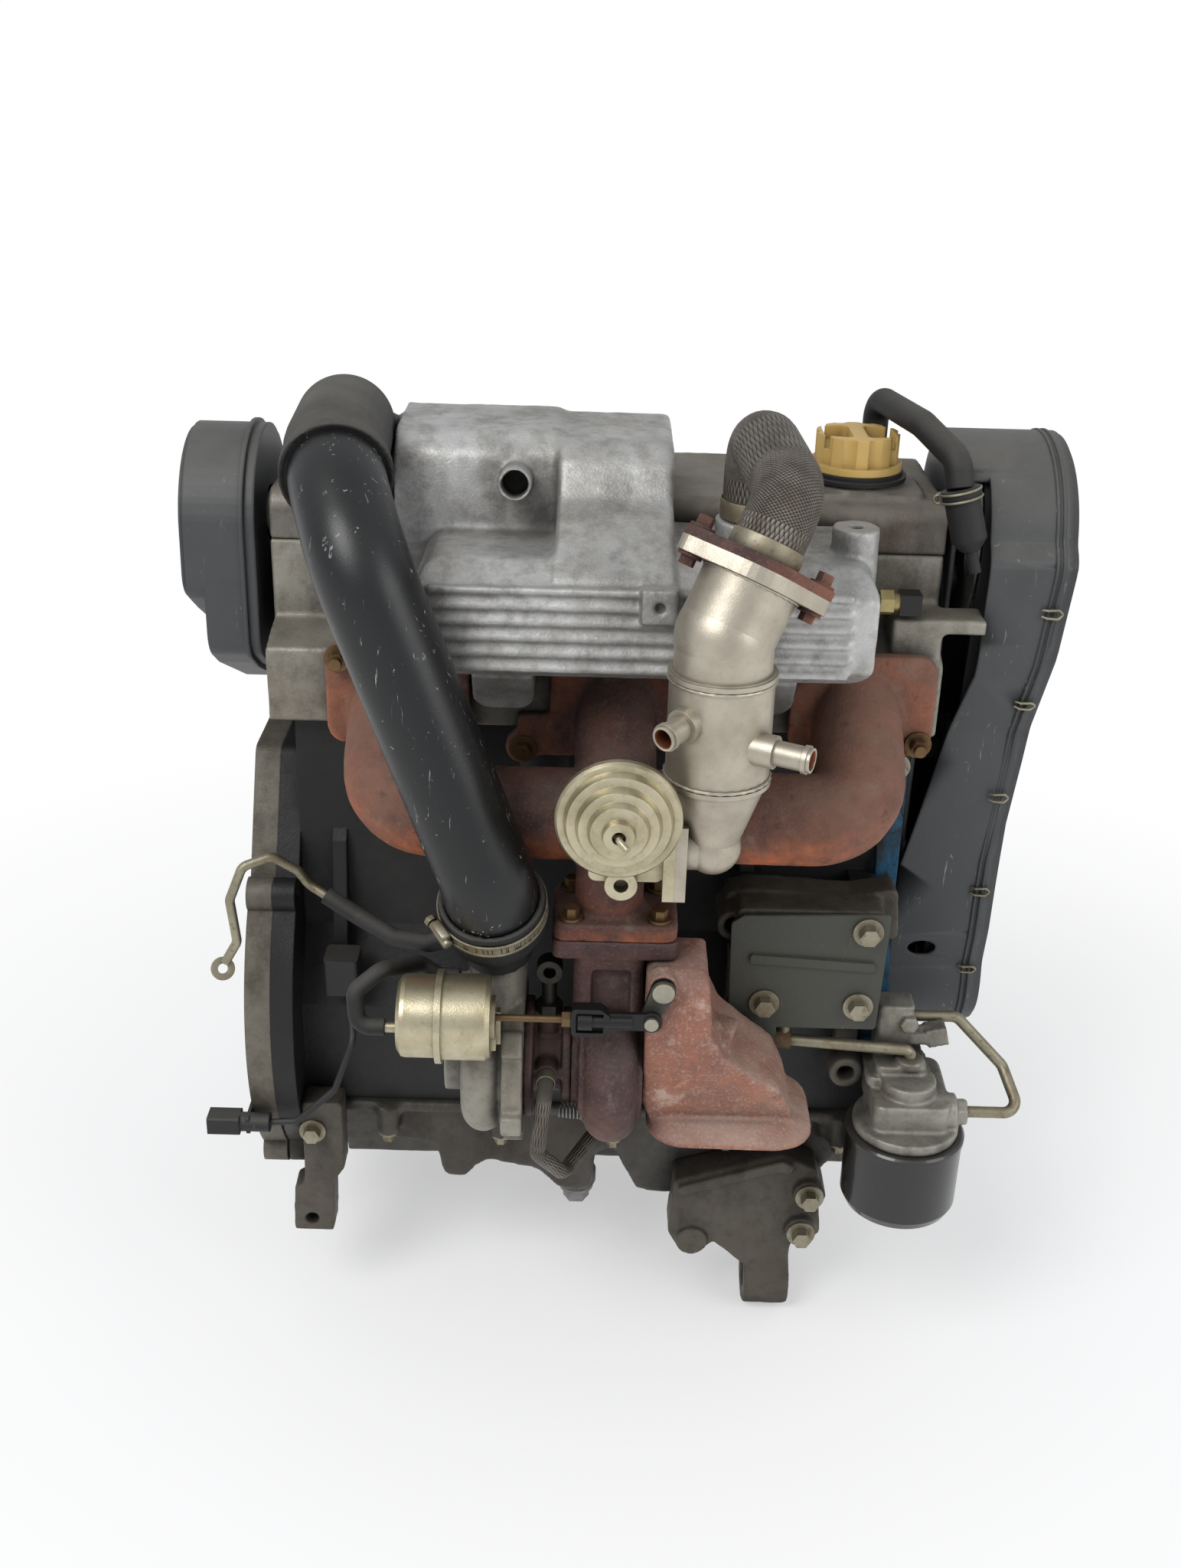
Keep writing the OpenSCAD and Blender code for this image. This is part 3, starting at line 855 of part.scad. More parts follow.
module drive_outline(low = 0) offset(r = 22, $fn = 32) union() {
  translate([0, head_z1]) circle(r = drive_r);
  translate(pump_p) circle(r = drive_r);
  polygon([[0, head_z1] + drive_n * (drive_r - 8), pump_p + drive_n * (drive_r - 8), pump_p - drive_n * (drive_r - 8), [0, head_z1] - drive_n * (drive_r - 8)]);
  polygon([[-drive_r, head_z1], [-drive_r - 2, 324 - low], [-24, 312 - low], [60, 262 - low * 0.8], [pump_p[0] - 8, pump_p[1] - drive_r], pump_p, [30, head_z1 + 28], [0, head_z1]]);
}
module pump_drive_cover() color([0.3, 0.3, 0.3]) difference() {
  union() {
    along_x(drive_x0 - 4, 2) drive_outline();
    along_x(drive_x0 - 7, drive_x0 - 4) offset(delta = -3) drive_outline();
    along_x(drive_x0 + 8, 10) drive_outline(40);
    along_x(0, 3) offset(delta = 3) drive_outline(40);
  }
  along_x(drive_x0 - 4, 0) offset(delta = -cover_t) drive_outline();
  along_x(drive_x0 + 8 + cover_t, 10 - cover_t) offset(delta = -cover_t) drive_outline(40);
  xcyl(5, 11, 0, head_z1, cam_r + 5);
  xcyl(5, 11, pump_p[0], pump_p[1], 14);
}
module injection_pump() color([0.5, 0.5, 0.48]) difference() {
  union() {
    along_x(10, 24) translate(pump_p) soft(10) union() { circle(r = 44); for (k = [0 : 2]) rotate(k * 120 + 30) translate([46, 0]) circle(r = 10); }
    xcyl(24, 96, pump_p[0], pump_p[1], 40);
    along_x(40, 92) rect(pump_p[0] - 40, pump_p[0] + 36, pump_p[1] + 10, pump_p[1] + 58, 8);
    xcyl(96, 132, pump_p[0], pump_p[1], 32);
    for (i = [0 : 3]) pump_union(i) cylinder(r = 7, h = 12, $fn = 6);
    // bracket down to the block and head
    box(60, 90, head_w, pump_p[0] - 20, head_z0 + 2, head_z0 + 30);
    // stop solenoid
    xcyl(132, 158, pump_p[0], pump_p[1], 9);
  }
  xcyl(9, 52, pump_p[0], pump_p[1], 9 + run_c);
}
module pump_union(i) translate([132, pump_p[0], pump_p[1]]) rotate([i * 90 + 45, 0, 0]) translate([0, 0, 21]) rotate([0, 90, 0]) children();
function union_p(i) = [144, pump_p[0] - 21 * sin(i * 90 + 45), pump_p[1] + 21 * cos(i * 90 + 45)];
inj_u = [0, sin(24), cos(24)];
function inj_top(i) = [cyl(i) + 14, cam_w + 24, head_z0 + 52] + inj_u * 58;
module injectors() color([0.6, 0.58, 0.5]) {
  for (i = [0 : 3]) {
    inj(i) { cylinder(r = 11, h = 36); translate([0, 0, 36]) cylinder(r = 9, h = 10, $fn = 6); translate([0, 0, 46]) cylinder(r = 6, h = 12); }
    tube([union_p(i), union_p(i) + [16 + i * 9, 0, 0], [170 + i * 9, 150, 322 + i * 9], [inj_top(i)[0] + (i == 0 ? 6 : -6), 152, 338 + i * 7], inj_top(i) + inj_u * 18, inj_top(i)], 7, 3, 12);
  }
}

// ---- breather, sensors and small pipes ----------------------------------------------------
module breather_valve() color([0.16, 0.18, 0.2]) {
  tube([[seat_x + 20, seat_y + 56, cover_z1 + 20], [seat_x + 20, seat_y + 56, cover_z1 + 50], [450, -40, cover_z1 + 50], [468, -78, cover_z1 + 36], valve_a], 16, 9, 32);
  aim(valve_a, valve_u) { cylinder(r = 12.5, h = 8); translate([0, 0, 8]) cylinder(r = 11.5, h = 26); translate([0, 0, 34]) cylinder(r1 = 11.5, r2 = 6, h = 7); translate([0, 0, 40]) cylinder(r = 4, h = 16, $fn = 32); }
}
valve_a = [470, -84, 404];
valve_u = unit([0.26, -0.12, -0.95]);
module temperature_sensor() color([0.72, 0.6, 0.3]) {
  xcyl(plen_x1, sens_x, -92, plen_z0 + 29, 6);
  xcyl(sens_x, sens_x + 9, -92, plen_z0 + 29, 8.5, 6);
  xcyl(sens_x + 9, sens_x + 13, -92, plen_z0 + 29, 6);
  box(sens_x + 13, sens_x + 27, -99, -85, plen_z0 + 22, plen_z0 + 36);
}
sens_x = plen_x1 + 14;
pad_y = 99;
shield_y = 148;
shield_t = 2.5;
shield_holes = [[429, 114], [427, 55], [362, 56]];
module block_bracket() color([0.36, 0.34, 0.31]) difference() {
  union() {
    along_y(-122, -pad_y) soft(5) polygon([[334, 92], [334, 126], [350, 130], [420, 126], [452, 132], [456, 92]]);
    along_y(-shield_y + 2, -120) soft(4) polygon([[340, 112], [340, 127], [440, 127], [443, 104], [420, 104], [416, 116], [352, 116]]);
    for (p = shield_holes) ycyl(p[0], -shield_y, -shield_y + (p[1] > 90 ? 28 : 34), p[1], 9, 32);
    // arms down to the lower shield bosses
    along_y(-126, -skirt_w) soft(3) polygon([[354, 95], [354, 48], [370, 48], [370, 95]]);
    along_y(-126, -skirt_w) soft(3) polygon([[418, 95], [418, -10], [434, -10], [434, 95]]);
    ycyl(338, -142, -104, 111, 11);
    ycyl(425, -144, -skirt_w, -6, 12);
  }
  ycyl(338, -143, -103, 111, 6);
  ycyl(425, -145, -126, -6, 6);
}
module shield_bracket() color([0.27, 0.29, 0.25]) difference() {
  union() {
    along_y(-shield_y - shield_t, -shield_y) soft(3) polygon([[338, 38], [336, 118], [344, 124], [444, 127], [441, 36], [372, 36], [372, 26], [352, 26]]);
    // folded left flange running down to a point
    along_x(336, 336 + shield_t) polygon([[-shield_y - 1, 98], [-shield_y - 1, 30], [-shield_y + 4, 0], [-shield_y + 9, 0], [-shield_y + 12, 40], [-shield_y + 16, 94]]);
    // pressed ridge
    along_y(-shield_y - shield_t - 2.5, -shield_y - shield_t + 1) soft(2) polygon([[350, 88], [350, 95], [436, 90], [436, 83]]);
  }
  for (p = shield_holes) ycyl(p[0], -shield_y - 10, -shield_y + 1, p[1], 6.5, 24);
}
filter_x = 467;
filter_y = skirt_w + filter_r + 8;
filter_z1 = -36;
hex_p = [506, -166, -20];
module oil_filter_head() color([0.35, 0.35, 0.34]) difference() {
  union() {
    zcyl(filter_x, -filter_y, filter_z1, filter_z1 + 8, filter_r - 5);
    along_z(filter_z1 + 6, -8) rect(filter_x - 26, filter_x + 28, -filter_y - 20, -skirt_w - 4, 8);
    zcyl(filter_x, -filter_y + 4, filter_z1 + 6, 2, 19);
    xcyl(filter_x + 10, hex_p[0] - 6, hex_p[1], hex_p[2], 13);
    xcyl(hex_p[0] - 6, hex_p[0] + 2, hex_p[1], hex_p[2], 10, 6);
    // pale alloy pipe flange and column
    along_z(-8, 0) rect(438, 484, -158, -skirt_w - 4, 8);
    along_z(-2, 8) rect(444, 480, -156, -skirt_w - 8, 6);
    along_z(6, 48) rect(444, 470, -140, -skirt_w - 6, 4);
    zcyl(468, -148, 6, 12, 10);
    // pressure switch with its square plug
    xcyl(468, 482, -134, 22, 8, 6);
    translate([482, -141, 15]) rotate([0, -14, 0]) cube([15, 14, 14]);
    ycyl(466, -146, -139, 36, 7, 6);
  }
  translate([490, -137, 19]) rotate([0, -14, 0]) cube([9, 6, 9]);
}
module oil_filter() color([0.09, 0.08, 0.08]) translate([filter_x, -filter_y, filter_z1 - filter_h]) rotate_extrude($fn = 72)
  polygon([[0, 3], [filter_r * 0.5, 3], [filter_r * 0.5 + 3, 0], [filter_r - 11, 0], [filter_r - 4, 3], [filter_r - 1.2, 9], [filter_r - 1, filter_h - 6], [filter_r, filter_h - 5], [filter_r, filter_h - 1.5], [filter_r - 1.5, filter_h], [0, filter_h]]);
module oil_pipes() color([0.5, 0.48, 0.42]) {
  tube([[364, -148 + 9, 20], [468, -148, 18], [468, -148, 12]], 5, 4.2, 24);
  xcyl(356, 364.5, -139, 20, 7, 6);
  tube([[379, -138, 20], [379, -132, 92]], 5, 5, 24);
  tube([hex_p + [2, 0, 0], hex_p + [40, 0, 0], [536, -140, 2], [504, -121.5, 30], [470 + gap, -121.5, 30]], 9, 4, 24);
}
module crank_sensor() color([0.1, 0.1, 0.1]) {
  along_x(-2.4, 0) rect(-158, -133, -62, -48, 2);
  xcyl(-8, 14, -152, -55, 7);
  along_x(-30, -7) rect(-160, -144, -62, -48, 2);
  tube([[13, -152, -55], [34, -154, -52], [62, -154, -24], [76, -150, 16], [70, -122, 30], [66, -120, 42]], 9, 2.4, 12);
  along_z(40, 68) rect(54, 78, -132, -107.5, 3);
}
module vacuum_pipe() color([0.3, 0.27, 0.24]) {
  tube([[-6, -165, 86], [3, -165, 102], [0, -165, 134], [9, -161, 157], [28, -156, 163], [44, -151, 150], [50, -146, 137], [62, -150, 131]], 8, 3.2, 16);
  aim([-9, -162, 79], [0.3, -0.9, 0.5]) difference() { cylinder(r = 8, h = 4, $fn = 32); translate([0, 0, -1]) cylinder(r = 3.4, h = 6, $fn = 32); }
}
module vacuum_hoses() color([0.14, 0.14, 0.14]) {
  tube([[62, -150, 131], [86, -158, 119], [112, -180, 117], [136, -194, 122], [153, -202.5, 132.6]], 14, 6, 20);
  tube([[can_x0 - 9, -rod_y, pin_p[1] - 9], [can_x0 - 26, -rod_y, pin_p[1] - 9], [can_x0 - 28, -rod_y + 4, pin_p[1] + 14], [can_x0 - 12, -rod_y + 14, pin_p[1] + 24], [can_x0 + 8, -turbo_y - 5, turbo_z + 72], [nip_x - 14, -turbo_y - 3, turbo_z + 62], [nip_x - gap, -turbo_y - 3, turbo_z + 62]], 9, 5.5, 20);
}
mount_front = 142;
mount_bolts = [[408, -117], [404, -151]];
eye_p = [382, -118, -208];
module mount_bracket() color([0.34, 0.33, 0.31]) difference() {
  union() {
    along_y(-134, -sump_w) soft(5) polygon([[308, -112], [386, -86], [414, -100], [420, -158], [400, -166], [394, -186], [364, -190], [340, -168], [332, -176], [314, -176], [305, -160]]);
    ycyl(323, -140, -sump_w, -164, 12);
    for (p = mount_bolts) ycyl(p[0], -mount_front, -sump_w, p[1], 12);
    along_y(-140, -130) soft(3) polygon([[310, -114], [386, -88], [396, -92], [394, -100], [384, -98], [313, -122]]);
    // arm and eye
    along_y(-134, -100) polygon([[366, -170], [398, -170], [398, -206], [366, -206]]);
    xcyl(eye_p[0] - eye_w / 2, eye_p[0] + eye_w / 2, eye_p[1], eye_p[2], 24);
  }
  xcyl(eye_p[0] - eye_w / 2 - 1, eye_p[0] + eye_w / 2 + 1, eye_p[1], eye_p[2], eye_r);
  box(364, 400, -sump_w, -90, -190, -60);
}

cylinder_block();
sump();
flange_bolts();
drain_plug();
gearbox_adapter_plate();
rear_leg_bracket();
crankshaft();
flywheel();
ring_gear();
crank_sprocket();
head_gasket();
cylinder_head();
camshaft();
cam_sprocket();
pump_drive_pulley();
cam_cover();
filler_seal();
oil_filler_cap();
inlet_manifold();
exhaust_manifold();
exhaust_manifold_nuts();
turbine_housing();
turbine_outlet_elbow();
bearing_housing();
compressor_housing();
turbine_wheel();
compressor_wheel();
actuator_canister();
wastegate_rod();
wastegate_lever();
oil_banjo();
oil_drain_hose();
egr_valve();
egr_cooler();
egr_flange_plate();
egr_flexible_pipe();
intake_pipe();
intake_elbow();
intake_cuff();
hose_clamp();
timing_cover();
timing_cover_outer();
timing_belt();
tensioner_pulley();
pump_drive_cover();
pump_belt();
pump_pulley();
injection_pump();
injectors();
breather_valve();
temperature_sensor();
shield_bracket();
block_bracket();
oil_filter_head();
oil_filter();
oil_pipes();
crank_sensor();
vacuum_pipe();
vacuum_hoses();
mount_bracket();
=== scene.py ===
"""Dresses a four-cylinder turbo-diesel car engine: finishes for every casting, cover, pipe and
bracket, and the small parts that a bare power unit carries."""

import json
import math

import bmesh
import bpy
from mathutils import Matrix, Vector

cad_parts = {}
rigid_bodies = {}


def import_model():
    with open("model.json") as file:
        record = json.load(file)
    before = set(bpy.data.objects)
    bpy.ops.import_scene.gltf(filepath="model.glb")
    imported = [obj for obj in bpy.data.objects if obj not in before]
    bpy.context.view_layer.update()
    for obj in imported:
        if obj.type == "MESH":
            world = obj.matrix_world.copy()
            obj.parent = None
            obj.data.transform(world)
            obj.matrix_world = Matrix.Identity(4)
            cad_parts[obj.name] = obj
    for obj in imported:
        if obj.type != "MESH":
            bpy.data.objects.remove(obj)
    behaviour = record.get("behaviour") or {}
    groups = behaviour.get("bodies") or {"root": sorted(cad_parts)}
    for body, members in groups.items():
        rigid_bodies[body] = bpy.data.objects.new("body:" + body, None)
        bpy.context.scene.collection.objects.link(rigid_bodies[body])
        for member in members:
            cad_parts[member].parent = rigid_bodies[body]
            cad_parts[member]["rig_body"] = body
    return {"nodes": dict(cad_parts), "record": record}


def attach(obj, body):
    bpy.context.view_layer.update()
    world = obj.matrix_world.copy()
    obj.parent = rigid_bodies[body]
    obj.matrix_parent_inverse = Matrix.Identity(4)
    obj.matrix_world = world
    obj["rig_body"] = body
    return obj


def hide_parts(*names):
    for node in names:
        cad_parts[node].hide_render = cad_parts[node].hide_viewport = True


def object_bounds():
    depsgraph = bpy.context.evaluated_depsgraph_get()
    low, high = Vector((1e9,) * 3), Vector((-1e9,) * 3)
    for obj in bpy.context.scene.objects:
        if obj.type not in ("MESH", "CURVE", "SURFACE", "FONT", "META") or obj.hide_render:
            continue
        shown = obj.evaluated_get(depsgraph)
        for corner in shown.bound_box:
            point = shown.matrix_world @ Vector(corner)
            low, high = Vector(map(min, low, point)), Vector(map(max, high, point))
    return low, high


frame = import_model()

bl_info = {
    "name": "Turbo-diesel engine dressing",
    "version": (1, 0, 0),
    "blender": (4, 5, 0),
    "location": "3D View > Sidebar > Engine",
    "description": "Finishes, small parts and a plain studio for a bare car engine",
    "category": "Object",
}

RECORD = frame["record"]
NODES = frame["nodes"]
CAD_LOW, CAD_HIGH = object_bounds()
MIX_INPUTS, MIX_RESULT = (0, 6, 7), 2       # a colour Mix node's factor and two colours, and its result


# ---- shader arithmetic ----
def arithmetic(operation, swapped=False):
    """A method that adds a Math node of the sheet, with its two values swapped where asked."""
    def run(self, other):
        values = (other, self) if swapped else (self, other)
        return self.sheet.math(operation, *values)
    return run


class Wire:
    """An output socket that does arithmetic: each operator adds a Math node."""

    __add__ = __radd__ = arithmetic("ADD")
    __sub__, __rsub__ = arithmetic("SUBTRACT"), arithmetic("SUBTRACT", swapped=True)
    __mul__, __truediv__ = arithmetic("MULTIPLY"), arithmetic("DIVIDE")

    def __init__(self, sheet, socket):
        self.sheet = sheet
        self.socket = socket

    def above(self, edge, softness=0.05):
        """0 below the edge, 1 above it, with a soft step between."""
        low, high = edge - softness, edge + softness
        return self.sheet.add("ShaderNodeMapRange", {"clamp": True}, self, low, high, 0.0, 1.0)


def rgb(colour, shade=1.0):
    """A display colour of three numbers from 0 to 1 as a linear colour with alpha."""
    def linear(c):
        return c / 12.92 if c <= 0.04045 else ((c + 0.055) / 1.055) ** 2.4
    return [linear(c) * shade for c in colour] + [1.0]


class Sheet:
    """The node sheet of one material, with the colour that it shows so far."""

    def __init__(self, name, base=(1.0, 1.0, 1.0)):
        self.colour = rgb(base)
        self.material = bpy.data.materials.new(name)
        self.material.use_nodes = True
        self.tree = self.material.node_tree
        self.shader = self.tree.nodes["Principled BSDF"]
        self.place = self.add("ShaderNodeTexCoord", {}, out="Object")

    def add(self, kind, settings, *values, out=0, **named):
        """Adds a node, applies its settings, then sets or links its sockets."""
        node = self.tree.nodes.new(kind)
        for key, value in settings.items():
            setattr(node, key, value)
        sockets = [s for s in node.inputs if s.enabled]
        for socket, value in zip(sockets, values):
            self.feed(socket, value)
        for key, value in named.items():
            self.feed(node.inputs[key.replace("_", " ")], value)
        return Wire(self, node.outputs[out])

    def feed(self, socket, value):
        """Links a wire to a socket, or sets a plain value."""
        if isinstance(value, Wire):
            self.tree.links.new(value.socket, socket)
        elif value is not None:
            socket.default_value = value

    def math(self, operation, *values):
        """Adds a Math node."""
        return self.add("ShaderNodeMath", {"operation": operation}, *values)

    def along(self, axis):
        """The object's own X, Y or Z in metres."""
        return self.add("ShaderNodeSeparateXYZ", {}, self.place, out=axis)

    def noise(self, scale, detail, roughness=0.55, distortion=0.0, **mapping):
        """Soft noise in the object's own metres, moved by Location and stretched by Scale where asked."""
        where = self.add("ShaderNodeMapping", {}, Vector=self.place, **mapping) if mapping else self.place
        return self.add("ShaderNodeTexNoise", {}, Vector=where, Scale=scale, Detail=detail,
                        Roughness=roughness, Distortion=distortion)

    def mix(self, factor, first, second):
        """Blends two colours."""
        node = self.tree.nodes.new("ShaderNodeMix")
        node.data_type = "RGBA"
        for socket, value in zip(MIX_INPUTS, (factor, first, second)):
            self.feed(node.inputs[socket], value)
        return Wire(self, node.outputs[MIX_RESULT])

    def tint(self, share, colour, shade=1.0):
        """Lays a share of a colour over the sheet's own."""
        self.colour = self.mix(share, self.colour, rgb(colour, shade))

    def crevice_shade(self, distance):
        """1 deep in hollows and gaps, where shade falls, 0 on open faces: the mask that paints shade into a
        colour.
        """
        settings = {"samples": 4, "only_local": False}
        open_share = self.add("ShaderNodeAmbientOcclusion", settings, Distance=distance, out="AO")
        return 1 - open_share

    def slope(self):
        """1 on faces that look straight up, -1 on those that look down."""
        normal = self.add("ShaderNodeNewGeometry", {}, out="Normal")
        return self.add("ShaderNodeSeparateXYZ", {}, normal, out="Z")

    def facing_up(self):
        """1 on faces that look up and gather dust, 0 on the rest."""
        return self.slope().above(0.5, 0.4)

    def facing_down(self):
        """1 on faces that look down, where damp leaves fresh rust, 0 on the rest."""
        return 1 - self.slope().above(-0.25, 0.45)

    def band_of(self, axis, low, high, softness):
        """1 where the object's own X, Y or Z lies between low and high metres."""
        value = self.along(axis)
        return value.above(low, softness) * (1 - value.above(high, softness))

    def finish(self, roughness, metallic, height, bump, coat=0.0, edge=0.0):
        """Feeds the shader: bump is the relief's depth, and edge the radius of softened edges, in metres."""
        self.feed(self.shader.inputs["Base Color"], self.colour)
        self.feed(self.shader.inputs["Roughness"], roughness)
        self.feed(self.shader.inputs["Metallic"], metallic)
        self.feed(self.shader.inputs["Coat Weight"], coat)
        relief = self.add("ShaderNodeBump", {}, Strength=1.0, Distance=bump, Height=height)
        if edge:
            rounded = self.add("ShaderNodeBevel", {"samples": 4}, edge)
            self.feed(relief.socket.node.inputs["Normal"], rounded)
        self.feed(self.shader.inputs["Normal"], relief)
        return self.material


# ---- finishes ----
METAL_DUST, PLASTIC_DUST = (0.62, 0.59, 0.53), (0.47, 0.455, 0.42)
# axis, low, high and softness of the strip at the block's front edge that kept its clean paint
PAINTED_EDGE = (("X", 0.441, 0.6, 0.004), ("Y", -0.2, -0.06, 0.01), ("Z", -0.01, 0.2, 0.02))


def casting(name, base, stain, grime_and_shade, metallic=0.7, rough=0.42, grain=0.00035, stain_share=0.5, dust=0.0,
            seed=(0.0, 0.0, 0.0), edge_paint=None):
    """Sand-cast metal: grainy skin, blotchy stains, grime and painted shade in the hollows, and dust on top.
    """
    s = Sheet(name, base)
    patch = s.noise(13.0, 6.0, 0.62, Location=seed)
    fine = s.noise(620.0, 2.0)
    blotch = s.noise(85.0, 5.0, 0.65)
    run = s.noise(30.0, 4.0, 0.6, Scale=(1.0, 1.0, 0.25))
    s.tint(patch.above(0.53, 0.12) * stain_share, stain)
    s.tint(blotch.above(0.58, 0.1) * 0.35, stain, 0.6)
    s.tint(run.above(0.6, 0.08) * 0.35, grime_and_shade, 1.5)
    s.tint(fine.above(0.62, 0.12) * 0.22, base, 1.35)
    # painted shade: hollows and gaps are darkened from occlusion, as grime and shade together
    corner_grime_and_shade = s.crevice_shade(0.03) * (0.6 + blotch)
    grime_and_shade_mask = corner_grime_and_shade.above(0.36, 0.3)
    s.tint(grime_and_shade_mask * 0.8, grime_and_shade)
    if dust:
        s.tint(s.facing_up() * blotch.above(0.45, 0.2) * dust, METAL_DUST)
    if edge_paint:
        along, across, up = [s.band_of(*stretch) for stretch in PAINTED_EDGE]
        kept = along * across * up * patch.above(0.44, 0.06) * (1 - blotch.above(0.6, 0.05)) * 0.9
        s.tint(kept, edge_paint)
    roughness = rough + blotch * 0.22 + grime_and_shade_mask * 0.25
    height = fine * 0.7 + blotch * 0.9
    return s.finish(roughness, (1 - grime_and_shade_mask * 0.7) * metallic, height, grain, edge=0.0016)


def rusted(name, scale, brown, orange, ash, middle=0.25, reach=0.17, rough=0.68, orange_share=0.14):
    """Rusted iron: dark scale where it ran hot, brown away from it, orange underneath, ash on top."""
    s = Sheet(name, scale)
    away = s.math("ABSOLUTE", s.along("X") - middle) / reach
    patch = s.noise(17.0, 6.0, 0.65)
    blotch = s.noise(70.0, 5.0, 0.7)
    fine = s.noise(520.0, 3.0)
    s.tint((away + (patch - 0.5) * 1.8).above(0.6, 0.35), brown)
    lit = s.noise(26.0, 5.0, 0.7).above(0.5, 0.14)
    s.tint(lit * (orange_share + s.facing_down() * (1 - orange_share)), orange)
    s.tint(blotch.above(0.6, 0.12) * 0.45, brown, 0.55)
    s.tint((1 - blotch.above(0.34, 0.06)) * 0.6, scale, 0.5)
    s.tint(fine.above(0.62, 0.1) * 0.35, ash)
    worn = s.noise(42.0, 6.0, 0.75).above(0.6, 0.05) * blotch.above(0.45, 0.1)
    s.tint(worn * 0.45, ash, 1.15)
    s.tint(s.facing_up() * patch.above(0.48, 0.15) * 0.4, ash, 0.8)
    # painted shade: hollows and gaps are darkened from occlusion, partly grime
    corner_grime_and_shade = s.crevice_shade(0.02)
    s.tint(corner_grime_and_shade.above(0.45, 0.35) * 0.8, (0.1, 0.07, 0.065))
    return s.finish(rough + fine * 0.2, 0.12, fine * 0.7 + blotch * 1.3, 0.0007)


def plated(name, base, tarnish, rough=0.34, spotted=0.5):
    """Plated or machined steel: streaked tarnish, dull spots, and grime and painted shade where parts meet.
    """
    s = Sheet(name, base)
    patch = s.noise(45.0, 5.0, 0.6)
    spots = s.noise(210.0, 3.0, 0.6)
    fine = s.noise(900.0, 2.0)
    s.tint(patch.above(0.53, 0.14) * 0.65, tarnish)
    s.tint(spots.above(0.64, 0.06) * spotted, tarnish, 0.6)
    # painted shade: gaps where parts meet are darkened from occlusion, partly grime
    corner_grime_and_shade = s.crevice_shade(0.01).above(0.5, 0.35)
    s.tint(corner_grime_and_shade * 0.75, (0.14, 0.115, 0.09))
    roughness = rough + patch * 0.22 + corner_grime_and_shade * 0.2
    return s.finish(roughness, 0.9, fine + spots * 0.4, 0.00009, edge=0.0006)


def parted(name, first, second, axis, low, high):
    """The second finish between two places of an axis, the first elsewhere: each a colour and its metal."""
    s = Sheet(name)
    inner = s.band_of(axis, low, high, 0.0003)
    patch = s.noise(60.0, 5.0, 0.6)
    plain = s.mix(inner, rgb(first[0]), rgb(second[0]))
    darker = s.mix(inner, rgb(first[0], 0.5), rgb(second[0], 0.5))
    s.colour = s.mix(patch.above(0.56, 0.1) * 0.4, plain, darker)
    # painted shade: gaps where parts meet are darkened from occlusion, partly grime
    corner_grime_and_shade = s.crevice_shade(0.01).above(0.5, 0.35)
    s.tint(corner_grime_and_shade * 0.6, (0.06, 0.05, 0.045))
    metallic = first[1] + inner * (second[1] - first[1])
    return s.finish(0.36 + patch * 0.2, metallic, patch + s.noise(700.0, 2.0), 0.0001, edge=0.0006)


def moulded(name, base, scuff, rough=0.5, dust=0.45, scratches=0.5, coat=0.0, grime_and_shade=(0.05, 0.05, 0.05),
            grain=0.00012, edge=0.0012):
    """Moulded plastic or rubber: fine grain, dusty tops, pale scratches and scuffed patches."""
    s = Sheet(name, base)
    patch = s.noise(16.0, 6.0, 0.65)
    fine = s.noise(800.0, 2.0)
    lines = s.noise(26.0, 4.0, 0.75, Scale=(6.0, 6.0, 0.6), distortion=1.2)
    spots = s.noise(160.0, 4.0, 0.7)
    smear = s.noise(9.0, 5.0, 0.6, Scale=(1.0, 1.0, 0.4))
    s.tint(patch.above(0.5, 0.2) * 0.35, base, 1.5)
    s.tint(smear.above(0.52, 0.16) * 0.4, base, 0.55)
    rubbed = lines.above(0.66, 0.025) * patch.above(0.5, 0.08)
    s.tint(rubbed * scratches, scuff)
    s.tint(spots.above(0.7, 0.03) * scratches * 0.7, scuff, 0.8)
    settled = s.facing_up() * (0.35 + patch.above(0.5, 0.2) * 0.65)
    s.tint(settled * dust, PLASTIC_DUST)
    # painted shade: hollows and gaps take the grime colour from occlusion, as grime and shade together
    corner_grime_and_shade = s.crevice_shade(0.014)
    s.tint(corner_grime_and_shade.above(0.5, 0.35) * 0.7, grime_and_shade)
    roughness = rough + rubbed * 0.3 + patch * 0.15
    return s.finish(roughness, 0.0, fine + rubbed * 0.6, grain, coat, edge=edge)


def braided(name, across, along, strand=(0.5, 0.475, 0.44)):
    """Woven wire: two crossing families of strands, each passing over and under the other."""
    s = Sheet(name, (0.1, 0.09, 0.08))
    uv = s.add("ShaderNodeUVMap", {"uv_map": "UVMap"})
    u = s.add("ShaderNodeSeparateXYZ", {}, uv, out="X")
    v = Wire(s, u.socket.node.outputs["Y"])
    first = u * along + v * across
    second = u * along - v * across + 400.0
    fraction, other = s.math("FRACT", first), s.math("FRACT", second)
    ridge = fraction * (1 - fraction) * 4.0
    crossing = other * (1 - other) * 4.0
    whole = first - fraction + second - other
    turn = s.math("FRACT", whole * 0.5 + 0.25).above(0.5, 0.01)
    height = ridge * turn * (0.4 + crossing * 0.6) + crossing * (1 - turn) * (0.4 + ridge * 0.6)
    patch = s.noise(60.0, 5.0, 0.6)
    s.tint(height.above(0.35, 0.3), strand)
    s.tint(patch.above(0.54, 0.12) * 0.6, (0.29, 0.245, 0.2))
    return s.finish(0.42 + patch * 0.2, 0.7, height, 0.0008)


FINISHES = {}


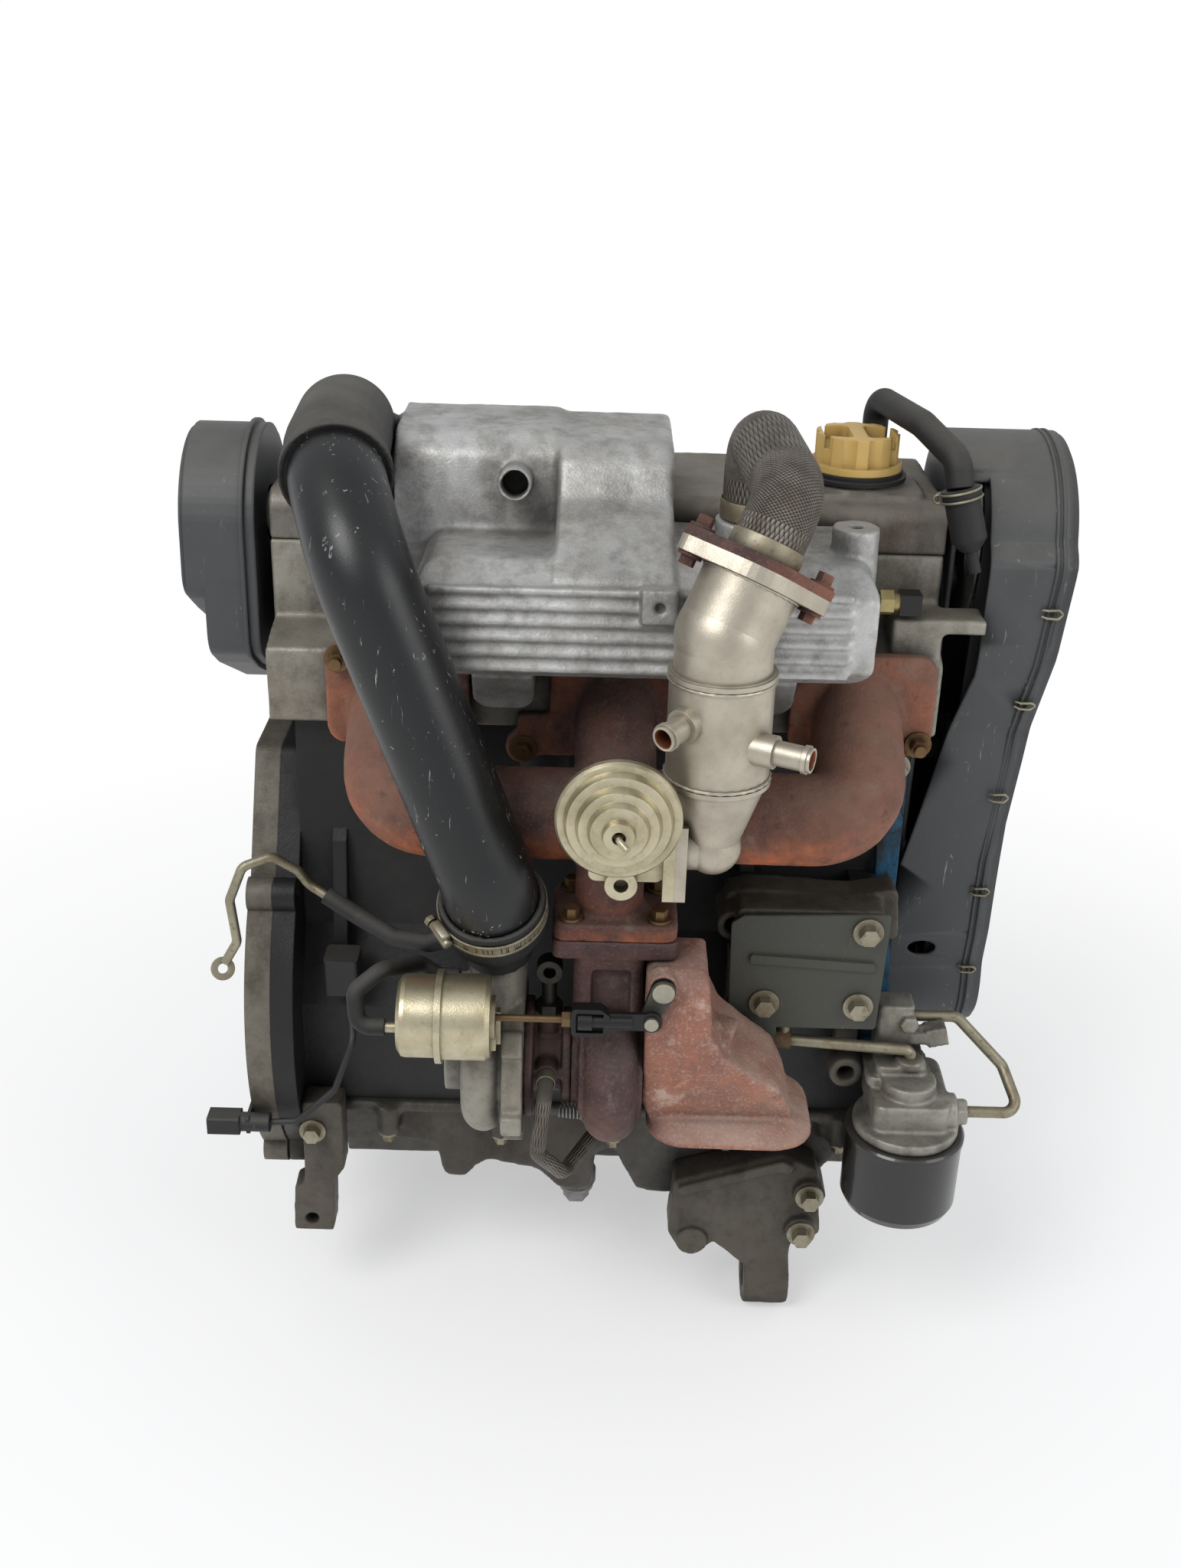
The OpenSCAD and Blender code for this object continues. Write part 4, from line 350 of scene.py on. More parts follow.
def build_finishes():
    """One material for each slot of the record, and one for each part with a finish of its own."""
    c = bpy.context.scene.engine_colours
    # colour of grime runs, also laid in the hollows as painted shade
    grime_and_shade = (0.085, 0.072, 0.06)
    return {
        "head_alloy": casting("cast head alloy", c.head_alloy, (0.42, 0.37, 0.3), grime_and_shade, dust=0.3),
        "inlet_alloy": casting("cast inlet alloy", c.inlet_alloy, (0.5, 0.475, 0.43), grime_and_shade,
                               metallic=0.8, dust=0.2, seed=(3.0, 1.0, 0.0)),
        "cover_alloy": casting("stained cover alloy", c.cam_cover, (0.33, 0.28, 0.22), grime_and_shade, dust=0.45,
                               stain_share=0.75, seed=(4.0, 4.0, 0.0)),
        "block_paint": casting("painted block", c.block_paint, (0.11, 0.095, 0.08), (0.016, 0.014, 0.012),
                               metallic=0.1, stain_share=0.6, seed=(1.0, 4.0, 2.0),
                               edge_paint=c.block_edge),
        "oily_alloy": casting("oily casting", c.sump, (0.22, 0.19, 0.155), (0.05, 0.042, 0.034),
                              metallic=0.45, rough=0.36, stain_share=0.8, seed=(5.0, 2.0, 1.0)),
        "plate_alloy": casting("adapter plate casting", c.adapter_plate, (0.3, 0.27, 0.22),
                               (0.09, 0.075, 0.06), metallic=0.4, rough=0.5, stain_share=0.7,
                               seed=(8.0, 2.0, 3.0)),
        "bracket_iron": casting("bracket iron", c.bracket, (0.23, 0.185, 0.14), (0.045, 0.04, 0.034),
                                metallic=0.35, rough=0.46, seed=(2.0, 6.0, 1.0)),
        "pump_alloy": casting("pressure cast alloy", c.pump_alloy, (0.36, 0.31, 0.25), (0.08, 0.07, 0.06),
                              rough=0.38, grain=0.0002, seed=(7.0, 3.0, 5.0)),
        "rusty_iron": rusted("rusted iron", c.hot_scale, c.rust_brown, c.rust_orange, (0.46, 0.41, 0.37)),
        "turbine_iron": rusted("heat tinted iron", c.hot_scale, (0.42, 0.28, 0.25), c.rust_brown,
                               (0.44, 0.38, 0.36), middle=0.27, reach=0.12, rough=0.55),
        "outlet_rust": rusted("flaking outlet rust", c.turbine_rust, (0.59, 0.47, 0.41), (0.68, 0.44, 0.33),
                              (0.76, 0.7, 0.65), middle=0.29, reach=0.13, orange_share=0.3),
        "dark_steel": plated("blackened steel", (0.27, 0.265, 0.25), (0.17, 0.15, 0.13), rough=0.42),
        "nut_bronze": plated("bronzed nuts", (0.52, 0.42, 0.3), (0.34, 0.26, 0.18), rough=0.4),
        "gear_rust": rusted("rusted gear teeth", (0.36, 0.25, 0.2), c.rust_brown, (0.6, 0.37, 0.24),
                            (0.5, 0.43, 0.36)),
        "machined_steel": plated("machined steel", (0.56, 0.56, 0.56), (0.38, 0.345, 0.29)),
        "zinc_bolts": plated("zinc plated steel", (0.64, 0.62, 0.55), (0.46, 0.4, 0.29), rough=0.4),
        "gold_zinc": plated("gold passivated steel", c.passivated, (0.6, 0.56, 0.44), rough=0.24,
                            spotted=0.25),
        "cooler_steel": plated("dull stainless", c.cooler, (0.63, 0.595, 0.54), spotted=0.15),
        "pipe_steel": plated("bare steel tube", (0.62, 0.6, 0.52), (0.42, 0.36, 0.27), rough=0.38),
        "sensor_brass": parted("dull brass", (c.brass, 0.85), ((0.05, 0.05, 0.055), 0.0), "X", 0.4369, 0.46),
        "rod_steel": parted("brown rod and black fork", ((0.42, 0.34, 0.24), 0.8),
                            ((0.05, 0.05, 0.055), 0.15), "X", 0.229, 0.4),
        "lever_steel": parted("black lever with bright pins", ((0.66, 0.64, 0.58), 0.9),
                              ((0.06, 0.058, 0.055), 0.2), "Y", -0.2472, -0.2425),
        "copper": plated("copper lining", c.copper, (0.36, 0.2, 0.14), rough=0.45),
        "steel_braid": plated("steel braid", (0.47, 0.45, 0.42), (0.3, 0.27, 0.23), rough=0.45),
        "cover_plastic": moulded("cover plastic", c.cover_plastic, (0.6, 0.6, 0.58), rough=0.44,
                                 scratches=0.7, edge=0.003),
        "pipe_plastic": moulded("satin pipe plastic", c.pipe_plastic, (0.8, 0.8, 0.78), rough=0.3,
                                dust=0.06, scratches=0.9, grain=0.00006),
        "old_rubber": moulded("weathered rubber", (0.1, 0.095, 0.09), (0.42, 0.39, 0.35), rough=0.6, dust=0.5,
                              scratches=0.7, grain=0.0003),
        "black_rubber": moulded("black rubber", (0.07, 0.07, 0.07), (0.33, 0.31, 0.28), rough=0.58, dust=0.3,
                                scratches=0.3),
        "sensor_plastic": moulded("sensor plastic", (0.085, 0.085, 0.09), (0.4, 0.38, 0.35), dust=0.3),
        "cap_plastic": moulded("faded cap plastic", c.filler_cap, (0.47, 0.35, 0.2), rough=0.42, dust=0.15,
                               grime_and_shade=(0.2, 0.13, 0.07)),
        "shield_paint": moulded("worn shield paint", c.shield, (0.45, 0.4, 0.33), rough=0.42, dust=0.35,
                                scratches=0.6, grime_and_shade=(0.07, 0.06, 0.05), grain=0.0002),
        "filter_paint": moulded("filter paint", c.oil_filter, (0.4, 0.3, 0.2), rough=0.24, dust=0.3,
                                coat=0.4, grain=0.00008),
    }


OWN_FINISH = {"cam_cover": "cover_alloy", "exhaust_manifold_nuts": "nut_bronze",
              "gearbox_adapter_plate": "plate_alloy", "oil_banjo": "dark_steel", "ring_gear": "gear_rust",
              "turbine_outlet_elbow": "outlet_rust", "wastegate_lever": "lever_steel",
              "wastegate_rod": "rod_steel"}


def finish_of(node):
    """The slot that the record gives a node, and the node's finish."""
    slot = next(part["material_slot"] for part in RECORD["subparts"] if part["node"] == node)
    return slot, FINISHES[OWN_FINISH.get(node, slot)]


def dress_nodes():
    """Gives every solid of the engine the finish of its slot."""
    FINISHES.update(build_finishes())
    for name, node in NODES.items():
        node.data.materials.clear()
        node.data.materials.append(finish_of(name)[1])


# ---- modelling helpers ----
WELD = 0.00002                  # places nearer than this are one
NEARLY_STRAIGHT = 0.02          # radians
CORNER_SHARE = 0.49             # the most of a leg that the arc at one of its ends takes
ALONG_X = (0.0, math.radians(90.0), 0.0)


def clear_selection():
    """Leaves edit mode and selects nothing."""
    if bpy.context.object and bpy.context.object.mode != "OBJECT":
        bpy.ops.object.mode_set(mode="OBJECT")
    bpy.ops.object.select_all(action="DESELECT")


def pick(piece):
    """Makes a piece the active one and the only one selected."""
    clear_selection()
    piece.select_set(True)
    bpy.context.view_layer.objects.active = piece


def made(kind, **settings):
    """Adds a mesh primitive and returns it."""
    clear_selection()
    getattr(bpy.ops.mesh, f"primitive_{kind}_add")(**settings)
    return bpy.context.object


def modified(piece, kind, **settings):
    """Adds a modifier with its settings."""
    modifier = piece.modifiers.new(kind.lower(), kind)
    for key, value in settings.items():
        setattr(modifier, key, value)
    return piece


def edited(piece, change, chosen=None, parts="faces", **settings):
    """Runs one mesh edit on the faces or verts that a test chooses, or on everything."""
    pick(piece)
    bpy.ops.object.mode_set(mode="EDIT")
    bpy.ops.mesh.select_all(action="DESELECT" if chosen else "SELECT")
    if chosen:
        mesh = bmesh.from_edit_mesh(piece.data)
        for part in getattr(mesh, parts):
            part.select_set(chosen(part))
        bmesh.update_edit_mesh(piece.data)
    change(**settings)
    bpy.ops.object.mode_set(mode="OBJECT")
    return piece


def baked(piece):
    """Applies the modifiers, place, turn and scale of a piece."""
    pick(piece)
    for modifier in list(piece.modifiers):
        bpy.ops.object.modifier_apply(modifier=modifier.name)
    bpy.ops.object.transform_apply(location=True, rotation=True, scale=True)
    return piece


def settle(piece, name, slot, replaces=None, finish=None, body="engine", smooth=35.0):
    """Bakes a piece, then names, finishes and mounts it. Without a finish it has that of its slot."""
    baked(piece)
    bpy.ops.object.shade_smooth_by_angle(angle=math.radians(smooth))
    piece.name = name
    piece.data.name = name
    piece.data.materials.clear()
    piece.data.materials.append(finish or FINISHES[slot])
    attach(piece, body)
    if replaces:
        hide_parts(replaces)


def merge(pieces):
    """Joins pieces into the first and returns it."""
    clear_selection()
    for piece in pieces:
        piece.select_set(True)
    bpy.context.view_layer.objects.active = pieces[0]
    bpy.ops.object.join()
    return pieces[0]


def rounded_route(points, bend, per_corner):
    """The points with each corner turned into an arc of the bend radius."""
    points = [Vector(p) for p in points]
    route = [points[0]]
    for before, corner, after in zip(points, points[1:], points[2:]):
        into, out = (corner - before).normalized(), (after - corner).normalized()
        angle = into.angle(out)
        if angle < NEARLY_STRAIGHT or not bend:
            route.append(corner)
            continue
        shorter = min((corner - before).length, (after - corner).length)
        reach = min(bend * math.tan(angle / 2), CORNER_SHARE * shorter)
        radius = reach / math.tan(angle / 2)
        inward = (out - into).normalized()
        centre = corner + inward * (radius / math.cos(angle / 2))
        first = corner - into * reach - centre
        axis = into.cross(out).normalized()
        for k in range(per_corner + 1):
            route.append(centre + Matrix.Rotation(angle * k / per_corner, 3, axis) @ first)
    route.append(points[-1])
    return route


def swept(points, bend, radius, sides=6, per_corner=9):
    """A tube with closed ends along a rounded route, as a mesh with its own UV map."""
    clear_selection()
    bpy.ops.curve.primitive_nurbs_path_add()
    path = bpy.context.object
    route = rounded_route(points, bend, per_corner)
    path.data.splines.clear()
    spline = path.data.splines.new("POLY")
    spline.points.add(len(route) - 1)
    for point, place in zip(spline.points, route):
        point.co = (*place, 1.0)
    path.data.bevel_depth = radius
    path.data.bevel_resolution = sides
    path.data.use_fill_caps = True
    bpy.ops.object.convert(target="MESH")
    return bpy.context.object


def at(x, y, z):
    """A place written in millimetres, in metres."""
    return Vector((x, y, z)) * 0.001


def ramp(value, low, high):
    """0 below low, 1 above high, straight between."""
    return min(1.0, max(0.0, (value - low) / (high - low)))


def stand(piece, place, axis):
    """Moves a piece made round the origin to its place, its own +Z along the axis."""
    piece.rotation_euler = Vector(axis).to_track_quat("Z", "Y").to_euler()
    piece.location = place
    return baked(piece)


def facing(piece, place, axis, towards):
    """Places a piece with its own +Z along the axis and its own -Y towards a direction."""
    z = Vector(axis).normalized()
    y = -(Vector(towards) - z * Vector(towards).dot(z)).normalized()
    piece.matrix_world = Matrix.Translation(place) @ Matrix((y.cross(z), y, z)).transposed().to_4x4()
    return baked(piece)


def bevelled(piece, width, angle=30.0):
    """Softens the edges where faces meet at more than an angle."""
    return modified(piece, "BEVEL", width=width, segments=2, limit_method="ANGLE",
                    angle_limit=math.radians(angle))


def walled(piece, thickness):
    """Gives an open skin a wall on its outer side."""
    return modified(piece, "SOLIDIFY", thickness=thickness, offset=1.0)


def even_skin(piece, voxel):
    """Gives a piece one closed skin of even cells."""
    return modified(piece, "REMESH", mode="VOXEL", voxel_size=voxel)


def looks_up(face):
    """Tells the top face of a small part."""
    return face.normal.z > 0.9


def steps_round(place, steps):
    """How far round the Z axis a place stands, in steps of which a full turn has so many."""
    return math.atan2(place.y, place.x) / (2 * math.pi) * steps


def block(size, place, bevel):
    """A small bevelled block, with its top face inset and raised like a pressing."""
    piece = made("cube", size=1.0, location=place)
    piece.scale = size
    bpy.ops.object.transform_apply(location=False, rotation=False, scale=True)
    edited(piece, bpy.ops.mesh.inset, looks_up, thickness=min(size) * 0.22, depth=min(size) * 0.08)
    return baked(bevelled(piece, bevel))


def band(radius, width, thickness):
    """A flat metal band round the origin's Z axis."""
    piece = made("cylinder", vertices=72, radius=radius, depth=width,
                 end_fill_type="NOTHING")
    return baked(bevelled(walled(piece, thickness), thickness * 0.35, 60.0))


def hexagon(radius, height):
    """A hexagon head with its rim turned down."""
    piece = made("cylinder", vertices=6, radius=radius, depth=height)
    edited(piece, bpy.ops.mesh.inset, looks_up, thickness=radius * 0.25, depth=-height * 0.12)
    return baked(bevelled(piece, radius * 0.08))


STRAP_FACES = 150               # faces round a clamp's strap, every second of which is a screw slot
STRAP_WALL, SLOT_RIM, SLOT_DEPTH = 0.0009, 0.00016, 0.0007
STRAP_SHARE, RIM_SHARE, RIM_WALL = 0.56, 0.22, 0.0012      # shares of a clamp's width


def slotted_band(radius, width):
    """A clamp band with its row of screw slots and rolled rims."""
    strap = made("cylinder", vertices=STRAP_FACES, radius=radius,
                 depth=width * STRAP_SHARE, end_fill_type="NOTHING")
    edited(strap, bpy.ops.mesh.inset,
           lambda face: round(steps_round(face.calc_center_median(), STRAP_FACES) - 0.5) % 2 == 0,
           thickness=SLOT_RIM, depth=-SLOT_DEPTH, use_individual=True)
    parts = [baked(walled(strap, STRAP_WALL))]
    for side in (-1, 1):
        rim = band(radius, width * RIM_SHARE, RIM_WALL)
        rim.location = (0.0, 0.0, side * width * (STRAP_SHARE + RIM_SHARE) / 2)
        parts.append(baked(rim))
    return merge(parts)


HOUSING, HOUSING_OUT = (0.014, 0.006), 0.0035   # size along and out of the strap, place beyond it
SCREW_RADIUS, SCREW_LENGTH, SCREW_OUT = 0.0032, 0.019, 0.004
HEAD_RADIUS, HEAD_THICK, HEAD_X = 0.0042, 0.004, -0.012


def worm_clamp(radius, width):
    """A hose clamp round the origin's Z axis: slotted band, screw housing and hexagon screw."""
    strap = slotted_band(radius, width)
    housing = block((*HOUSING, width * 1.15), (0.0, -radius - HOUSING_OUT, 0.0), 0.0008)
    screw = made("cylinder", vertices=20, radius=SCREW_RADIUS, depth=SCREW_LENGTH,
                 location=(0.0, -radius - SCREW_OUT, 0.0))
    screw.rotation_euler = ALONG_X
    baked(bevelled(screw, 0.0004))
    head = hexagon(HEAD_RADIUS, HEAD_THICK)
    head.rotation_euler = ALONG_X
    head.location = (HEAD_X, -radius - SCREW_OUT, 0.0)
    return merge([strap, housing, screw, baked(head)])


def bead_ring(radius, thick, steps=84):
    """A rippled weld bead round the origin's Z axis, thicker at every third step."""
    piece = made("torus", major_radius=radius, minor_radius=thick,
                 major_segments=steps, minor_segments=8)
    return edited(piece, bpy.ops.transform.shrink_fatten,
                  lambda vertex: round(steps_round(vertex.co, steps)) % 3 == 0, "verts", value=thick * 0.35)


def coil(start, end, radius, wire, turns):
    """A wound spring between two places."""
    axis = (end - start).normalized()
    side = axis.orthogonal().normalized()
    other = axis.cross(side)
    per_turn = 14
    count = turns * per_turn
    path = [start + (end - start) * k / count + side * radius * math.cos(2 * math.pi * k / per_turn)
            + other * radius * math.sin(2 * math.pi * k / per_turn) for k in range(count + 1)]
    return swept([start, *path, end], 0.0, wire, sides=3)


def copied(node, name):
    """A merged copy of a solid, to be shaped further."""
    piece = bpy.data.objects.new(name, NODES[node].data.copy())
    bpy.context.scene.collection.objects.link(piece)
    return edited(piece, bpy.ops.mesh.remove_doubles, threshold=WELD)


# ---- castings ----
# node, voxel, smoothing passes, share of faces kept
CAST_SKINS = (("exhaust_manifold", 0.0018, 9, 0.6), ("turbine_housing", 0.0013, 7, 0.7),
              ("turbine_outlet_elbow", 0.0014, 8, 0.7), ("compressor_housing", 0.0012, 5, 0.5),
              ("bearing_housing", 0.0012, 5, 0.8), ("inlet_manifold", 0.0014, 4, 0.45),
              ("cylinder_head", 0.0021, 4, 0.5), ("cam_cover", 0.0018, 5, 0.5), ("sump", 0.0026, 5, 0.6),
              ("mount_bracket", 0.0015, 5, 0.6), ("rear_leg_bracket", 0.0014, 5, 0.8),
              ("block_bracket", 0.0014, 5, 0.6), ("oil_filter_head", 0.0011, 4, 0.7),
              ("intake_cuff", 0.0012, 5, 0.7))
WORK_VOXEL = 0.0014                     # cells of a skin that is shaped further
LUMP_SIZE, LUMP_HEIGHT = 0.016, 0.0009

# the inlet manifold's raised boxes: where their rounding starts upwards and at both ends, how far it
# takes to reach its full strength there, and the breather stub that it spares
BOX_FOOT, BOX_SIDE = 0.368, (0.109, 0.284)
BOX_RISE, BOX_FADE, BOX_PASSES = 0.014, (0.004, 0.006), 70
STUB, STUB_BACK, STUB_REACH = at(186, -74, 402), -0.088, 0.02

# the turbine outlet: its middle, the heights of its top, waist and flange, and the shape of its neck
OUTLET_MID, OUTLET_TOP, OUTLET_FOOT, OUTLET_FLANGE = at(318, -197, 0), 0.084, 0.012, 0.003
OUTLET_HEIGHT_SHARE, NECK_SHARE, NECK_FRONT_SHARE = 0.86, 0.3, 0.65


def round_boxes(skin):
    """Rounds the raised boxes of the inlet manifold far more than its ribs."""
    baked(even_skin(skin, WORK_VOXEL))
    boxes = skin.vertex_groups.new(name="raised boxes")
    for vertex in skin.data.vertices:
        place = vertex.co
        stub = place.y < STUB_BACK and math.hypot(place.x - STUB.x, place.z - STUB.z) < STUB_REACH
        weight = ramp(place.z, BOX_FOOT, BOX_FOOT + BOX_RISE)
        weight *= ramp(place.x, BOX_SIDE[0], BOX_SIDE[0] + BOX_FADE[0])
        weight *= 1.0 - ramp(place.x, BOX_SIDE[1], BOX_SIDE[1] + BOX_FADE[1])
        if weight > 0.0 and not stub:
            boxes.add([vertex.index], weight, "REPLACE")
    modified(skin, "SMOOTH", factor=0.5, iterations=BOX_PASSES, vertex_group="raised boxes")


def neck_outlet(skin):
    """Draws the turbine outlet in to a neck above its flange."""
    baked(even_skin(skin, WORK_VOXEL))
    for vertex in skin.data.vertices:
        x, y, z = vertex.co
        if z < OUTLET_TOP:
            z = OUTLET_TOP - (OUTLET_TOP - z) * OUTLET_HEIGHT_SHARE
            drawn_in = ramp(z, OUTLET_FLANGE, OUTLET_FOOT) * (1.0 - ramp(z, OUTLET_FOOT, OUTLET_TOP))
            waist = 1.0 - NECK_SHARE * drawn_in
            y = OUTLET_MID.y + (y - OUTLET_MID.y) * waist
            if x > OUTLET_MID.x:
                x = OUTLET_MID.x + (x - OUTLET_MID.x) * (1.0 - NECK_FRONT_SHARE + NECK_FRONT_SHARE * waist)
        vertex.co = (x, y, z)


SPECIAL_SKINS = {"inlet_manifold": round_boxes, "turbine_outlet_elbow": neck_outlet}


def cast_skin(node, voxel, passes, kept):
    """A copy of a solid with the softened edges and slight lumps that a mould leaves."""
    skin = copied(node, node + "_skin")
    if node in SPECIAL_SKINS:
        SPECIAL_SKINS[node](skin)
    lumps = bpy.data.textures.new(node + " lumps", "CLOUDS")
    lumps.noise_scale = LUMP_SIZE
    even_skin(skin, voxel)
    modified(skin, "SMOOTH", factor=0.5, iterations=passes)
    modified(skin, "DISPLACE", texture=lumps, strength=LUMP_HEIGHT, mid_level=0.5)
    modified(skin, "DECIMATE", ratio=kept)
    slot, finish = finish_of(node)
    settle(skin, node + "_skin", slot, node, finish, NODES[node]["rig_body"], smooth=50.0)


def make_cast_skins():
    """One skin for each casting of the list."""
    for row in CAST_SKINS:
        cast_skin(*row)


# ---- braids and welds ----
FLEX_ROUTE = (at(332.53, -217.35, 395.48), at(348.48, -205.39, 430.16), at(338, -100, 440),
              at(338, -100, 386))
DRAIN_ROUTE = (at(214, -228, 44), at(214, -243, 44), at(209, -239, -10), at(226, -205, -52),
               at(262, -150, -34), at(262, -112.3, -34))
FLEX_BEND, DRAIN_BEND = 0.034, 0.012
FLEX_COLLAR, DRAIN_COLLAR = 0.0215, 0.0056      # inner radii
COOLER_X, COOLER_Y = 313.0, -232.0
COOLER_SLANT = at(0.4, 0.3, 0.87)               # the way the cooler's elbow looks
ALONG_Y, UPWARDS = (0, 1, 0), (0, 0, 1)


def make_braids():
    """The braided gas pipe and drain hose with their collars."""
    sizes = bpy.context.scene.engine_sizes
    pipe = swept(FLEX_ROUTE, FLEX_BEND, sizes.braid_radius, sides=14)
    settle(pipe, "braided_gas_pipe", "steel_braid", "egr_flexible_pipe", braided("wide braid", 44, 56))
    hose = swept(DRAIN_ROUTE, DRAIN_BEND, sizes.drain_radius, sides=8)
    settle(hose, "braided_drain_hose", "steel_braid", "oil_drain_hose", braided("fine braid", 16, 95))
    collars = [stand(band(FLEX_COLLAR, 0.010, 0.0009), FLEX_ROUTE[0] + at(2.2, 1.6, 4.8), COOLER_SLANT),
               stand(band(FLEX_COLLAR, 0.012, 0.0009), FLEX_ROUTE[3] + at(0, 0, 7), UPWARDS),
               stand(band(DRAIN_COLLAR, 0.009, 0.0006), DRAIN_ROUTE[0] - at(0, 5, 0), ALONG_Y),
               stand(band(DRAIN_COLLAR, 0.010, 0.0006), DRAIN_ROUTE[5] - at(0, 6, 0), ALONG_Y)]
    settle(merge(collars), "braid_collars", "zinc_bolts")


def make_welds():
    """The weld beads of the gas cooler: both ends, its elbow and the pipe to the valve."""
    rings = [stand(bead_ring(0.0313, 0.0011), at(COOLER_X, COOLER_Y, 328.6), UPWARDS),
             stand(bead_ring(0.0313, 0.0011), at(COOLER_X, COOLER_Y, 267.4), UPWARDS),
             stand(bead_ring(0.0290, 0.0012), at(327.0, -221.5, 381.6), COOLER_SLANT),
             stand(bead_ring(0.0154, 0.0011, 54), at(292, COOLER_Y, 218), (1, 0, 0))]
    settle(merge(rings), "cooler_weld_beads", "cooler_steel")


# ---- belt covers ----
SEAM_HIGH, SEAM_LOW, OUTER_X, RIM = 0.542, 0.526, 0.559, 0.013
BELT_SIDE, CAM_Z, WAIST_Z = 0.500, 0.352, 0.150
TOP_SHARE, FOOT_SHARE = 0.875, 0.68     # height kept above the camshaft and below the crankshaft
# height and share of the width that is kept there
COVER_WAIST = ((-0.06, 0.72), (0.0, 0.77), (0.025, 0.8), (0.095, 0.85), (0.175, 0.95), (0.6, 0.957))
COVER_CUTS = (WAIST_Z, 0.2, 0.25, 0.3, CAM_Z, 0.025, 0.06, 0.095)
LIP_OUT, LIP_RADIUS = 0.0022, 0.0013
# place on the seam and outward direction
COVER_CLIPS = (((542, -89.8, 322), (0.0, -1.0, 0.04)), ((542, -74.3, 251.8), (0.0, -0.928, -0.371)),
               ((542, -62.2, 175), (0.0, -1.0, 0.03)), ((542, -60.2, 95), (0.0, -1.0, 0.0)),
               ((542, -53.9, 24.6), (0.0, -0.98, -0.196)), ((542, 84.0, 322), (0.0, 1.0, 0.1)),
               ((542, 66.5, 175), (0.0, 1.0, 0.03)))
HALF_HOOK = ((-0.0065, -0.0022, 0.0008), (-0.0035, -0.0026, 0.003), (0.004, -0.003, 0.003))
HOOK_TIP, HOOK_BEND = (0.0075, 0.0, 0.0022), 0.0015


def leaned(place):
    """Where a point of the belt covers goes: the seam leans in and the lower half is drawn narrow."""
    x, y, z = place
    seam = SEAM_LOW + (SEAM_HIGH - SEAM_LOW) * ramp(z, WAIST_Z, CAM_Z)
    if x > SEAM_HIGH:
        x = seam + (x - SEAM_HIGH) * RIM / (OUTER_X - SEAM_HIGH)
    elif x > BELT_SIDE:
        x = BELT_SIDE + (x - BELT_SIDE) * (seam - BELT_SIDE) / (SEAM_HIGH - BELT_SIDE)
    for (low, first), (high, last) in zip(COVER_WAIST, COVER_WAIST[1:]):
        if low <= z <= high:
            y *= first + (last - first) * (z - low) / (high - low)
            break
    if z > CAM_Z:
        z = CAM_Z + (z - CAM_Z) * TOP_SHARE
    elif z < 0.0:
        z *= FOOT_SHARE
    return Vector((x, y, z))


def seam_loop(piece):
    """The outer edge of the seam, as places in order."""
    mesh = bmesh.new()
    mesh.from_mesh(piece.data)
    edges = [e for e in mesh.edges if all(abs(v.co.x - SEAM_HIGH) < 0.0001 for v in e.verts)
             and sum(abs(f.normal.x) > 0.99 for f in e.link_faces) == 1]
    follows = {}
    for edge in edges:
        for vertex, other in (edge.verts, reversed(edge.verts)):
            follows.setdefault(vertex.index, []).append(other.index)
    places = {v.index: v.co.copy() for v in mesh.verts}
    mesh.free()
    start = min(follows, key=lambda index: places[index].y)
    loop, last = [start], None
    while len(loop) < 2 or loop[-1] != start:
        step = next(index for index in follows[loop[-1]] if index != last)
        last = loop[-1]
        loop.append(step)
    return [places[index] for index in loop]


def make_belt_covers():
    """The two shells of the belt cover, leaned and drawn narrow, and the lips of their seam."""
    for node in ("timing_cover", "timing_cover_outer"):
        cover = copied(node, node + "_shell")
        if node == "timing_cover_outer":
            loop = [leaned(place) for place in seam_loop(cover)]
        for height in COVER_CUTS:
            edited(cover, bpy.ops.mesh.bisect, plane_co=(0.0, 0.0, height), plane_no=(0.0, 0.0, 1.0))
        for vertex in cover.data.vertices:
            vertex.co = leaned(vertex.co)
        settle(cover, node + "_shell", "cover_plastic", node, smooth=40.0)
    lips = [swept([place + Vector((side, 0.0, 0.0)) for place in loop], 0.0, LIP_RADIUS, sides=3)
            for side in (-LIP_OUT, LIP_OUT)]
    settle(merge(lips), "cover_seam_lips", "cover_plastic")


def make_clips():
    """Wire clips that hook over both lips of the cover's seam."""
    wire = bpy.context.scene.engine_sizes.wire_radius
    route = [*HALF_HOOK, HOOK_TIP, *((x, -y, z) for x, y, z in reversed(HALF_HOOK))]
    clips = [facing(swept(route, HOOK_BEND, wire, sides=3, per_corner=4), leaned(at(*place)), normal,
                    Vector((1.0, 0.0, 0.0)).cross(normal)) for place, normal in COVER_CLIPS]
    settle(merge(clips), "cover_clips", "pipe_steel")


# ---- intake pipe ----
CUFF_BASE, CUFF_AXIS = at(181, -198, 124), Vector((-0.0501, -0.4705, 0.881))
PIPE_ROUTE = (at(179.2, -214.9, 155.7), at(177.4, -231.8, 187.4), at(101, -213, 385), at(86, -176, 415),
              at(79, -146, 424))
ELBOW_ROUTE = (at(81, -156, 420.5), at(76, -120, 427), at(72, -52, 427))
NECK_ROUTE = (at(72, -54, 427), at(99.5, -32, 408))
PIPE_BEND, ELBOW_BEND = 0.075, 0.05
ELBOW_WALL, NECK_RADIUS = 0.003, 0.0215
CLAMP_OUT, CLAMP_ALONG, CLAMP_WIDTH = 0.0041, 0.0475, 0.011
CLAMP_SCREW_SIDE = (-0.83, -0.48, -0.3)


